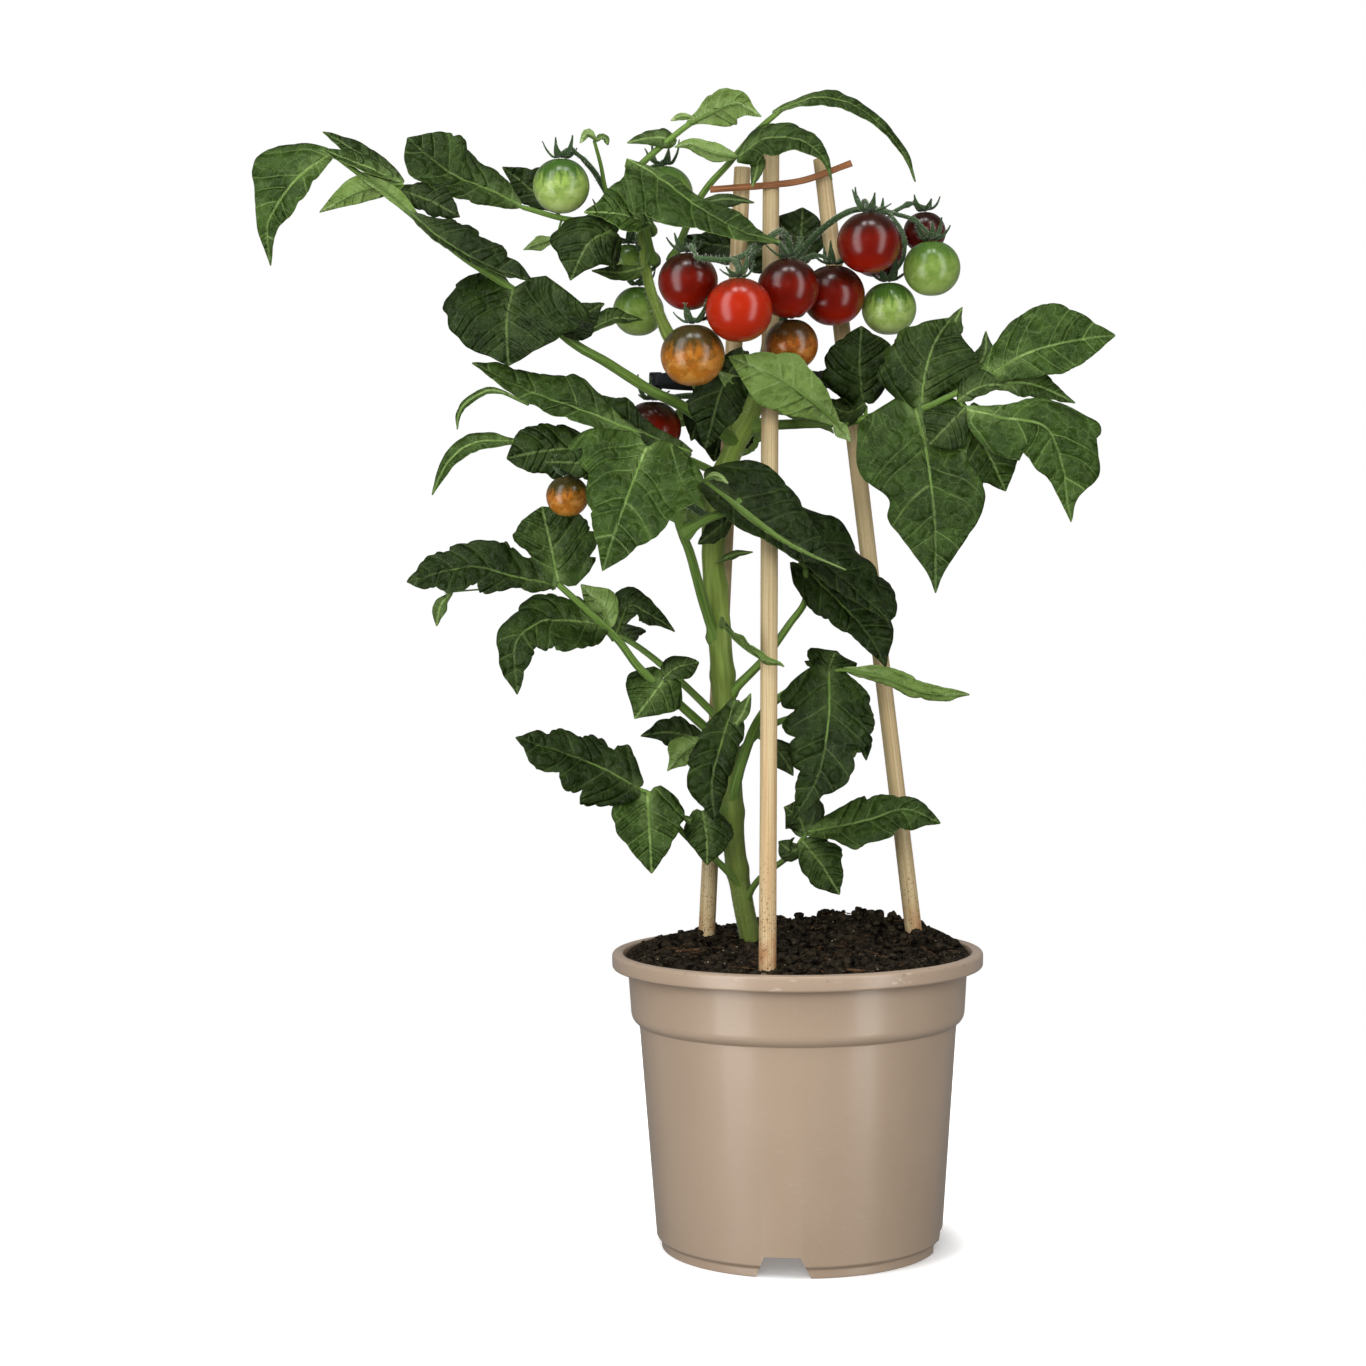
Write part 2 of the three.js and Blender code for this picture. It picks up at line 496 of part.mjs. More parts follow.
// ---- solids ----
const vector = (point) => new THREE.Vector3(...point);
const spine = (points) => new THREE.CatmullRomCurve3(points.map(vector));
const mix = (start, end, share) => start + (end - start) * share;

function toSolid(geometry) {
  const bare = new THREE.BufferGeometry();
  bare.setAttribute('position', geometry.getAttribute('position'));
  bare.setIndex(geometry.getIndex());
  const merged = mergeVertices(bare, 1e-4);
  const corners = merged.index.array;
  const triangles = [];
  for (let i = 0; i < corners.length; i += 3) {
    const [a, b, c] = corners.slice(i, i + 3);
    if (a !== b && b !== c && c !== a) triangles.push(a, b, c);
  }
  return new Manifold(new SolidMesh({
    numProp: 3,
    vertProperties: new Float32Array(merged.attributes.position.array),
    triVerts: new Uint32Array(triangles),
  }));
}

function toGeometry(solid) {
  const mesh = solid.getMesh();
  const geometry = new THREE.BufferGeometry();
  geometry.setAttribute('position', new THREE.BufferAttribute(mesh.vertProperties, 3));
  geometry.setIndex(new THREE.BufferAttribute(mesh.triVerts, 1));
  geometry.computeVertexNormals();
  return geometry;
}

const join = (solids) => solids.reduce((whole, solid) => whole.add(solid));

function move(geometry, place) {
  const positions = geometry.getAttribute('position');
  const point = new THREE.Vector3();
  for (let i = 0; i < positions.count; i += 1) {
    place(point.fromBufferAttribute(positions, i));
    positions.setXYZ(i, point.x, point.y, point.z);
  }
  return geometry;
}

function lathe(profile, sides) {
  const points = profile.map(([radius, height]) => new THREE.Vector2(radius, height));
  return new THREE.LatheGeometry(points, sides).rotateX(Math.PI / 2);
}

// A round stalk that tapers along a curve. radii holds its start and end, or start, middle and end.
const STALK_STEP = 24;
const stepsOf = (curve) => Math.max(2, Math.round(curve.getLength() / STALK_STEP));

function stalk(points, radii, grow = 0, sides = 4) {
  const curve = spine(points);
  const steps = stepsOf(curve);
  const taper = new THREE.CatmullRomCurve3(radii.map((radius, i) => new THREE.Vector3(radius, i, 0)));
  const profile = [new THREE.Vector2(0, 0)];
  for (let i = 0; i <= steps; i += 1) {
    profile.push(new THREE.Vector2(taper.getPoint(i / steps).x + grow, i));
  }
  profile.push(new THREE.Vector2(0, steps));
  const frames = curve.computeFrenetFrames(steps);
  const bend = (point) => {
    const step = Math.round(point.y);
    const { x, z } = point;
    const reach = step === 0 ? -grow : step === steps ? grow : 0;
    point.copy(curve.getPointAt(step / steps));
    point.addScaledVector(frames.binormals[step], x);
    point.addScaledVector(frames.normals[step], z);
    point.addScaledVector(frames.tangents[step], reach);
  };
  return toSolid(move(new THREE.LatheGeometry(profile, sides), bend));
}

// A thin leaf blade on its midrib, folded up along it if it is wide. left and right are its half widths.
// The blade starts as a narrow strip at start, on the leaf's stalk, and opens where the midrib begins.
const BLADE = { thickness: 1.2, endWidth: 1.2, fold: 0.16, foldFrom: 12 };

function blade({ rib, face, left, right }, start, grow) {
  const curve = spine([start, ...rib]);
  const stripShare = vector(start).distanceTo(vector(rib[0])) / curve.getLength();
  const rows = left.length + 2;
  const shareOf = (row) => (row === 0 ? 0 : mix(stripShare, 1, (row - 1) / (rows - 1)));
  const columns = Math.max(...left, ...right) < BLADE.foldFrom ? 1 : 2;
  const geometry = new THREE.BoxGeometry(2, rows, 1, columns, rows, 1).translate(0, rows / 2, 0);
  return toSolid(move(geometry, (point) => {
    const { x: side, z: layer } = point;
    const row = Math.round(point.y);
    const share = shareOf(row);
    const widths = side < 0 ? left : right;
    const width = row < 2 || row === rows ? BLADE.endWidth : widths[row - 2];
    const along = curve.getTangentAt(share);
    const across = along.clone().cross(vector(face)).normalize();
    const up = across.clone().cross(along);
    const reach = row === 0 ? -grow : row === rows ? grow : 0;
    point.copy(curve.getPointAt(share));
    point.addScaledVector(across, side * (width + grow));
    point.addScaledVector(up, layer * (BLADE.thickness + 2 * grow) + Math.abs(side) * width * BLADE.fold);
    point.addScaledVector(along, reach);
  }));
}

function nearestOf(points, target) {
  return points.reduce((best, point) => (
    point.distanceTo(target) < best.distanceTo(target) ? point : best));
}

// Points on the straight lengths that a stalk is made of.
const SHARES = [0, 0.25, 0.5, 0.75, 1];

function alongStalk(points) {
  const curve = spine(points);
  const rings = curve.getSpacedPoints(stepsOf(curve));
  return rings.slice(1).flatMap((end, i) => SHARES.map((share) => rings[i].clone().lerp(end, share)));
}

const STRIP_LENGTH = 4; // least length of the strip that joins a blade to its stalk

function leaf({ stalk: main, fork, radii, leaflets }, grow) {
  const stalks = fork ? [main, fork] : [main];
  const samples = stalks.flatMap(alongStalk);
  const blades = leaflets.map((leaflet) => {
    const foot = vector(leaflet.rib[0]);
    const start = nearestOf(samples.filter((point) => point.distanceTo(foot) > STRIP_LENGTH), foot);
    return blade(leaflet, start.toArray(), grow);
  });
  return join([...stalks.map((points) => stalk(points, radii, grow)), ...blades]);
}

// ---- pot and soil ----
// [radius, height] from the middle of the floor out to the foot, up the outside and down the inside
function potWall() {
  const inner = (radius) => radius - WALL;
  const footInner = FOOT_RADIUS - FOOT_WIDTH;
  return toSolid(lathe([
    [0, FLOOR_BOTTOM], [footInner + 1.5, FLOOR_BOTTOM], [footInner, 0], [FOOT_RADIUS, 0],
    [FOOT_RADIUS, FOOT_HEIGHT - 0.6], [BODY_BOTTOM_RADIUS, FOOT_HEIGHT + 1.2],
    [BODY_TOP_RADIUS, STEP_BOTTOM], [NECK_FOOT_RADIUS, STEP_TOP], [NECK_RADIUS, LIP_BOTTOM],
    [RIM_RADIUS - 1.2, LIP_BOTTOM], [RIM_RADIUS, LIP_BOTTOM + 2], [RIM_RADIUS - 0.6, RIM_TOP - 2.6],
    [RIM_RADIUS - 2.8, RIM_TOP], [RIM_RADIUS - 4.6, RIM_TOP - 0.4], [inner(NECK_RADIUS) + 2, RIM_TOP - 3.5],
    [inner(NECK_RADIUS), LIP_BOTTOM], [inner(NECK_FOOT_RADIUS), STEP_TOP],
    [inner(BODY_TOP_RADIUS), STEP_BOTTOM], [inner(BODY_BOTTOM_RADIUS), FLOOR_TOP], [0, FLOOR_TOP],
  ], POT_SIDES));
}

function notchCutter(angle) {
  const shape = new THREE.Shape();
  shape.moveTo(-NOTCH.bottomWidth / 2, -1);
  shape.lineTo(NOTCH.bottomWidth / 2, -1);
  shape.lineTo(NOTCH.topWidth / 2, NOTCH.height);
  shape.lineTo(-NOTCH.topWidth / 2, NOTCH.height);
  const geometry = new THREE.ExtrudeGeometry(shape, { depth: NOTCH.depth, bevelEnabled: false });
  geometry.rotateX(Math.PI / 2).rotateZ(Math.PI / 2); // the cut runs outwards along +X
  geometry.translate(FOOT_RADIUS - NOTCH.depth / 2, 0, 0).rotateZ(angle);
  return toSolid(geometry);
}

function drainHoleCutter(angle) {
  const tall = FLOOR_TOP - FLOOR_BOTTOM + 2;
  const geometry = new THREE.CylinderGeometry(DRAIN_HOLE.radius, DRAIN_HOLE.radius, tall, DRAIN_HOLE.sides);
  geometry.rotateX(Math.PI / 2).translate(DRAIN_HOLE.distance, 0, (FLOOR_BOTTOM + FLOOR_TOP) / 2);
  return toSolid(geometry.rotateZ(angle));
}

function pot() {
  let solid = potWall();
  for (let i = 0; i < NOTCH.count; i += 1) {
    const angle = THREE.MathUtils.degToRad(NOTCH.firstAngle + (i * 360) / NOTCH.count);
    solid = solid.subtract(notchCutter(angle)).subtract(drainHoleCutter(angle));
  }
  return solid;
}

function bump({ x, y, spreadX, spreadY, height }, px, py) {
  return height * Math.exp(-(((px - x) / spreadX) ** 2) - ((py - y) / spreadY) ** 2);
}

function soilHeight(x, y) {
  const edge = SOIL_EDGE_FALL * (Math.hypot(x, y) / BODY_TOP_RADIUS) ** 4;
  return SOIL_LEVEL + SOIL_SLOPE * y + bump(MOUND, x, y) + bump(DIP, x, y) - edge;
}

function soil() {
  const inside = (radius) => radius - WALL - GAP;
  const bottom = FLOOR_TOP + GAP;
  const top = inside(NECK_RADIUS) - 0.4;
  const surface = [top, 48, 0];
  const geometry = lathe([
    [0, bottom], [inside(BODY_BOTTOM_RADIUS), bottom], [inside(BODY_TOP_RADIUS), STEP_BOTTOM],
    [inside(NECK_FOOT_RADIUS), STEP_TOP], ...surface.map((radius) => [radius, RIM_TOP]),
  ], POT_SIDES);
  return toSolid(move(geometry, (point) => {
    if (point.z === RIM_TOP) point.z = soilHeight(point.x, point.y);
  }));
}

// ---- canes, tie and hoop ----
function cane({ foot, top }, grow) {
  const lean = vector(foot).sub(vector(top)).normalize();
  const bottom = vector(foot).addScaledVector(lean, CANE_DEPTH).toArray();
  const length = vector(top).distanceTo(vector(bottom)) + 2 * grow;
  const radius = CANE_RADIUS + grow;
  const geometry = new THREE.CylinderGeometry(radius, radius, length, CANE_SIDES);
  const turn = new THREE.Quaternion().setFromUnitVectors(new THREE.Vector3(0, -1, 0), lean);
  const middle = vector(bottom).add(vector(top)).multiplyScalar(0.5);
  return toSolid(geometry.applyQuaternion(turn).translate(...middle.toArray()));
}

function hoop(grow) {
  const ring = new THREE.Shape();
  ring.absellipse(0, 0, HOOP.radiusX + grow, HOOP.radiusY + grow, 0, Math.PI * 2);
  const inside = new THREE.Path();
  const wall = HOOP.band + grow;
  inside.absellipse(0, 0, HOOP.radiusX - wall, HOOP.radiusY - wall, 0, Math.PI * 2);
  ring.holes.push(inside);
  const strap = new THREE.ExtrudeGeometry(ring, {
    depth: HOOP.height + 2 * grow, bevelEnabled: false, curveSegments: HOOP.sides,
  });
  strap.translate(HOOP.x, HOOP.y, HOOP.z - grow);
  const clasps = [-1, 1].map((side) => {
    const [width, depth, height] = [CLASP.width, CLASP.depth, CLASP.height].map((size) => size + 2 * grow);
    const block = new THREE.BoxGeometry(width, depth, height);
    return toSolid(block.translate(HOOP.x + side * (HOOP.radiusX - 1), HOOP.y, HOOP.z + HOOP.height / 2));
  });
  return join([toSolid(strap), ...clasps]);
}

// ---- stem, trusses and fruit ----
function stem(grow) {
  const roots = ROOTS.map((points) => stalk(points, ROOT_RADII, grow));
  return join([stalk(STEM, STEM_RADII, grow, 8), stalk(SHOOT, SHOOT_RADII, grow, 6), ...roots]);
}

const fruitTop = ({ centre: [x, y, z], radius }) => [x, y, z + radius * FRUIT_SQUASH + CALYX.rise];

// A star that sits on the fruit: every other corner of a flat cone is drawn in.
function calyx(fruit, grow) {
  const { points, tipRadius, notchRadius, thickness, fruitShare } = CALYX;
  const reach = Math.min(tipRadius, fruit.radius * fruitShare) + grow;
  const geometry = lathe([[0, -grow], [reach, -grow], [0, thickness + grow]], points * 2);
  const top = vector(fruitTop(fruit));
  return toSolid(move(geometry, (point) => {
    const angle = Math.atan2(point.x, -point.y);
    const isNotch = Math.round(angle / (Math.PI / points)) % 2 !== 0;
    const shrink = isNotch ? notchRadius / tipRadius : 1;
    point.set(point.x * shrink + top.x, point.y * shrink + top.y, point.z + top.z - CALYX.rise + CALYX.gap);
  }));
}

// The path from the truss stalk to the top of a fruit, over a slight arch if no path is given.
function pedicelPath(main, top, [first, ...rest] = []) {
  const start = nearestOf(alongStalk(main), first ? vector(first) : top);
  if (first) return [start.toArray(), ...rest, top.toArray()];
  const middle = start.clone().lerp(top, PEDICEL_ARCH.share);
  middle.z += PEDICEL_ARCH.rise;
  return [start.toArray(), middle.toArray(), top.toArray()];
}

function truss({ stalk: main, fruits, routes = {} }, grow) {
  const pedicels = fruits.map((name) => {
    const path = pedicelPath(main, vector(fruitTop(FRUITS[name])), routes[name]);
    return stalk(path, PEDICEL_RADII, grow);
  });
  const calyxes = fruits.map((name) => calyx(FRUITS[name], grow));
  return join([stalk(main, TRUSS_RADII, grow), ...pedicels, ...calyxes]);
}

function tomato({ centre, radius }, grow) {
  const geometry = new THREE.SphereGeometry(radius + grow, FRUIT_SIDES, FRUIT_ROWS).rotateX(Math.PI / 2);
  return toSolid(geometry.scale(1, 1, FRUIT_SQUASH).translate(...centre));
}

// ---- assembly ----
// Each entry builds its solid with every side moved out by grow, so that a later piece can be cut
// clear of it.
const piecesOf = (family, finish, make) => Object.entries(family).map(([name, sizes]) => (
  { name, finish: sizes.finish ?? finish, build: (grow) => make(sizes, grow) }));
const reed = ({ path, radius }, grow) => stalk(path, [radius, radius], grow);
const PIECES = [
  ...piecesOf(CANES, 'cane', cane),
  { name: 'main_stem', finish: 'stem', build: stem },
  { name: 'soil', finish: 'soil', build: soil, filling: true },
  { name: 'reed_tie', finish: 'reed', build: (grow) => reed(REED, grow) },
  { name: 'support_hoop', finish: 'hoop', build: hoop },
  ...piecesOf(FRUITS, 'red', tomato),
  ...piecesOf(TRUSSES, 'truss', truss),
  ...piecesOf(LEAVES, 'leaf', leaf),
];

function meet(first, second) {
  const [a, b] = [first.boundingBox(), second.boundingBox()];
  return a.min.every((low, i) => low < b.max[i] && b.min[i] < a.max[i]);
}

// A cut can leave loose crumbs; only the piece itself is kept.
function largestBody(solid) {
  return solid.decompose().reduce((best, body) => (body.volume() > best.volume() ? body : best));
}

function cutClear(solid, neighbours) {
  const near = neighbours.filter((other) => meet(solid, other));
  const cut = near.reduce((rest, other) => rest.subtract(other), solid);
  return largestBody(largestBody(cut).simplify(SMALLEST_EDGE));
}

function toMesh(name, finish, solid) {
  const mesh = new THREE.Mesh(toGeometry(solid), new THREE.MeshStandardMaterial(FINISHES[finish]));
  mesh.name = name;
  return mesh;
}

function assemble() {
  const plant = new THREE.Group();
  plant.add(toMesh('pot', 'pot', pot()));
  const neighbours = [];
  for (const { name, finish, build, filling } of PIECES) {
    plant.add(toMesh(name, finish, cutClear(build(0), neighbours)));
    if (!filling) neighbours.push(build(GAP));
  }
  const bounds = new THREE.Box3().setFromObject(plant);
  const middle = bounds.getCenter(new THREE.Vector3());
  plant.position.set(-middle.x, -middle.y, -bounds.min.z);
  return plant;
}

export default assemble();
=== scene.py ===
"""A cherry tomato plant tied to canes in a nursery pot: the looks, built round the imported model.

Tables are in millimetres from the middle of the pot's foot, +Z up and -Y towards the front, but
for FRUITS_IN_PHOTO and LEAVES_IN_PHOTO, whose pixels are worked out in millimetres further down.
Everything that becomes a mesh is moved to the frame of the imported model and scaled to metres.
"""

import math
import random
from collections import namedtuple

import bpy
import numpy as np
from mathutils import Matrix, Vector, noise


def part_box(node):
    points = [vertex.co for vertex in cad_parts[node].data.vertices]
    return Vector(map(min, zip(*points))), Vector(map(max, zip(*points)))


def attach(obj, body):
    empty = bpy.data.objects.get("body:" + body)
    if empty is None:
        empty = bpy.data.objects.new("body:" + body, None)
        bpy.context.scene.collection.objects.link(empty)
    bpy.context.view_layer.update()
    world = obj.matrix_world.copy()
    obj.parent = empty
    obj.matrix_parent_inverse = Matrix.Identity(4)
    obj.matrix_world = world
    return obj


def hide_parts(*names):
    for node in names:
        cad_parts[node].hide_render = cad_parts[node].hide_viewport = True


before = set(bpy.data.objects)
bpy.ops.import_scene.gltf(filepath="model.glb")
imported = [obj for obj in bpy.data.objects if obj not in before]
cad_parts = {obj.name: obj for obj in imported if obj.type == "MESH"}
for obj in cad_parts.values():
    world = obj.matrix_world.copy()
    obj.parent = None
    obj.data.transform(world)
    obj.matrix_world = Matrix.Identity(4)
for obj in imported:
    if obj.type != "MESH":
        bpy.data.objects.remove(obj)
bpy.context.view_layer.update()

MM = 0.001


def pot_axis():
    """The middle of the pot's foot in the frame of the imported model, in millimetres."""
    low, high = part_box("pot")
    return np.array([(low[0] + high[0]) / 2, (low[1] + high[1]) / 2, low[2]]) / MM


AXIS = pot_axis()

# ---- camera ----
CAMERA_PLACE = (-57.3, -1305.6, 328.9)
CAMERA_PITCH = 1.738  # degrees down
CAMERA_ROLL = -0.525
CAMERA_LENS = 67.22  # mm on a 36 mm sensor
PHOTO_MIDDLE = 683  # pixels across and down
LENS_IN_PIXELS = 2550.6  # the same lens, where a pixel is one of the photograph
LEAST_SHOWN = 0.55  # a blade seen edge on is made at most this much wider than it looks

# ---- light ----
AMBIENT = (0.08, 0.41)  # the white surroundings as bounced light: from above and from below
MIRRORED = (0.04, 0.22)  # and in reflections: from the front and from behind the plant
# the floor glows white, but only weakly round the pot's foot; that dim ring, its middle moved by shade in
# mm, is a painted shadow added to the lamps' real one
FLOOR = dict(radius=0.68, shade=(7, 5), near=0.068, far=0.092, near_glow=0.18, far_glow=0.8)
# name, degrees from the camera's side, distance, height and size in metres, watts, and
# whether it shows in reflections
LAMPS = [
    ("strip_left", -47, 1.0, 0.55, (0.5, 2.1), 12, True),
    ("strip_right", 46, 1.0, 0.55, (0.36, 2.1), 8.2, True),
    ("top_left", -25, 0.45, 1.6, (0.2, 0.3), 2, True),
    ("top_right", 25, 0.45, 1.6, (0.2, 0.3), 2, True),
    ("front", -4, 2.0, 0.9, (0.8, 0.8), 21.3, False),
    ("back_left", -158, 1.7, 1.0, (1.0, 1.0), 11, False),
    ("back_right", 158, 1.7, 1.0, (1.0, 1.0), 11, False),
]

# ---- pot ----
RIM_RADIUS = 95
RIM_TOP = 152
LIP_BOTTOM = 143.8
NECK_RADIUS = 86.9
NECK_FOOT_RADIUS = 85.4
STEP_TOP = 119.6
STEP_BOTTOM = 115.8
BODY_TOP_RADIUS = 81.3
BODY_BOTTOM_RADIUS = 73.3
FOOT_HEIGHT = 5
FOOT_RADIUS = 70.9
FOOT_WIDTH = 3.4
WALL = 1.9
FLOOR_BOTTOM = 11.5
FLOOR_TOP = 13.5
NOTCH = dict(count=4, first=-99, bottom=27, top=18, height=11, depth=16)
DRAIN_HOLE = dict(radius=5, distance=56)

# ---- soil ----
SOIL_LEVEL = 151.5
SOIL_SLOPE = 0.05
SOIL_EDGE_FALL = 1.4
SOIL_RADIUS = 87.6
MOUND = dict(x=34, y=50, spread_x=54, spread_y=35, height=8)
DIP = dict(x=-25, y=28, spread_x=20, spread_y=20, height=-2.5)

# ---- canes, tie and hoop ----
CANE_RADIUS = 4.5
CANE_DEPTH = 45
CANES = {
    "cane_front": ((-17, -53, 147), (-9, 26, 566)),
    "cane_left": ((-46, 46, 153), (-24, 26, 556)),
    "cane_right": ((62.6, 28, 156), (17, 26, 560)),
}
REED = [(-41, 15.5, 543), (-25, 15.5, 544), (-11, 15.5, 545), (8, 15.5, 547.5), (32, 16, 556)]
HOOP = dict(x=-26, y=25, z=443, radius_x=45, radius_y=36, band=1.6, height=5.5)
CLASP = (7, 5, 9)

# ---- stem ----
STEM = [
    (-22, 32, 120), (-23, 32, 150), (-27, 28, 174), (-31, 25, 200), (-33, 25, 240), (-36, 24, 282),
    (-39, 24, 330), (-41, 24, 356), (-37, 24, 390), (-29, 24, 412), (-20, 24, 430), (-15, 26, 445),
    (-9, 30, 466), (-7, 34, 490),
]
STEM_RADII = (5.4, 5.5, 6.0, 6.2, 6.0, 5.8, 5.0, 3.1)
STEM_KNOTS = (0.19, 0.27, 0.34, 0.4, 0.46, 0.58, 0.66, 0.74, 0.8, 0.88)  # shares of its length
SHOOT = [
    (-28, 24, 414), (-45, 27, 440), (-56, 28, 456), (-66, 28, 476), (-73, 28, 496), (-76, 26, 516),
    (-77, 24, 536),
]
SHOOT_RADII = (3.9, 3.3, 2.8, 2.3)
ROOTS = [
    [(-22, 32, 134), (-8, 24, 122), (8, 10, 104)],
    [(-22, 32, 132), (-34, 20, 118), (-46, -2, 96)],
    [(-22, 32, 128), (-16, 46, 110), (-8, 56, 86)],
]
ROOT_RADII = (2.6, 1.2)

# ---- trusses and fruit ----
TRUSS_RADII = (2, 1.4)
PEDICEL_RADII = (1.15, 0.95)
ARCH = dict(share=0.6, rise=3.5)
CALYX_RISE = 1.6
SEPALS = 5
Truss = namedtuple("Truss", "stalk fruits routes", defaults=[{}])
TRUSSES = {
    "truss_right": Truss(
        [(-7, 34, 488), (0, 29, 504), (12, 16, 518), (25, 4, 527), (36, 0, 530), (52, 14, 530)],
        ["tomato_10", "tomato_11", "tomato_12", "tomato_13", "tomato_14"],
        {"tomato_14": [(50, 13, 530), (57, 4, 518), (57, 1, 505)]}),
    "truss_centre": Truss(
        [(-9, 30, 466), (2, 16, 490), (0, 4, 508), (-5, -6, 518), (-16, -22, 510),
         (-30, -38, 500), (-48, -42, 500)],
        ["tomato_06", "tomato_07", "tomato_08", "tomato_09", "tomato_15", "tomato_16"],
        {"tomato_15": [(-16, -22, 510), (-31, -22, 488), (-41, -26, 474)],
         "tomato_16": [(2, 16, 490), (2, 6, 482)]}),
    "truss_left": Truss(
        [(-76, 26, 514), (-82, 38, 525), (-92, 34, 540), (-100, 18, 552), (-106, 8, 558)],
        ["tomato_01", "tomato_02", "tomato_03", "tomato_04", "tomato_05"],
        {"tomato_05": [(-77, 29, 517), (-68, 36, 510)]}),
    "truss_low": Truss(
        [(-44, 27, 437), (-52, 26, 438), (-60, 25, 437.5)], ["tomato_17"],
        {"tomato_17": [(-60, 25, 437.5), (-66, 25, 438.5)]}),
    "truss_lowest": Truss(
        [(-39, 24, 372), (-66, -2, 388), (-92, -34, 400), (-108, -48, 402)], ["tomato_18"]),
}
FRUIT_SQUASH = 0.97
Fruit = namedtuple("Fruit", "centre radius skin")
FRUIT_SLOTS = {
    "green": "fruit_green", "striped": "fruit_green", "dark_green": "fruit_green",
    "orange": "fruit_amber", "brown_orange": "fruit_amber",
    "red": "fruit_red", "dark_red": "fruit_red", "brown_red": "fruit_red",
}
# centre: pixels across and down in the photograph, and the chosen depth. radius: pixels
FRUITS_IN_PHOTO = {
    "tomato_01": Fruit((562, 186, 0), 28, "striped"),
    "tomato_02": Fruit((664, 195, 42), 29, "green"),
    "tomato_03": Fruit((604, 225, 32), 15, "dark_green"),
    "tomato_04": Fruit((629, 262, 38), 19, "green"),
    "tomato_05": Fruit((638, 311, 42), 26, "green"),
    "tomato_06": Fruit((687, 281, -24), 30, "dark_red"),
    "tomato_07": Fruit((739, 309, -46), 33, "red"),
    "tomato_08": Fruit((788, 288, -26), 31, "dark_red"),
    "tomato_09": Fruit((834, 296, -2), 31, "dark_red"),
    "tomato_10": Fruit((868, 243, -20), 32, "dark_red"),
    "tomato_11": Fruit((878, 250, 18), 29, "dark_red"),
    "tomato_12": Fruit((924, 232, 22), 21, "brown_red"),
    "tomato_13": Fruit((931, 269, -4), 28, "green"),
    "tomato_14": Fruit((889, 309, 6), 27, "striped"),
    "tomato_15": Fruit((693, 356, -36), 32, "orange"),
    "tomato_16": Fruit((791, 345, -14), 27, "brown_orange"),
    "tomato_17": Fruit((653, 428, 24), 29, "dark_red"),
    "tomato_18": Fruit((568, 496, -54), 21, "orange"),
}

# ---- leaves: the stalk of each and its leaflets ----
VEINS = dict(least=6, most=16, share=0.16)  # mm between side veins, and as a share of the length
VEIN_SLANT = 0.6  # how far forward a side vein runs for each millimetre outwards, at the midrib
VEIN_CURVE = 0.012  # and how much more for each square millimetre
FINE_TEETH = dict(least=3.6, count=13)  # mm from tooth to tooth, and how many a long edge has
COARSE_TEETH = dict(least=9, count=4.2)
BLADE_THICKNESS = 0.45
ROW_STEP = 1.25
COLUMN_STEP = 1.8
OUTWARD = (0, -1, 0.35)
UPWARD = (0, -0.7, 0.7)
TURNED_OVER = (0, 1, 0.3)
# rib: the midrib. left, right: half widths at equal steps along it. face: where its upper side looks
# the tone, 0 light to 1 dark, is partly the leaflet's own green and mostly painted light and shade for how
# it lies. heart: how far the base bulges back. lobes: how deep the margin is cut
# stalked: 1 where a small stalk joins it to the leaf's own
Leaflet = namedtuple(
    "Leaflet", "rib left right face tone heart lobes stalked", defaults=[0.5, 0.25, 0.5, 1])
Leaf = namedtuple("Leaf", "radii stalk leaflets fork", defaults=[None])
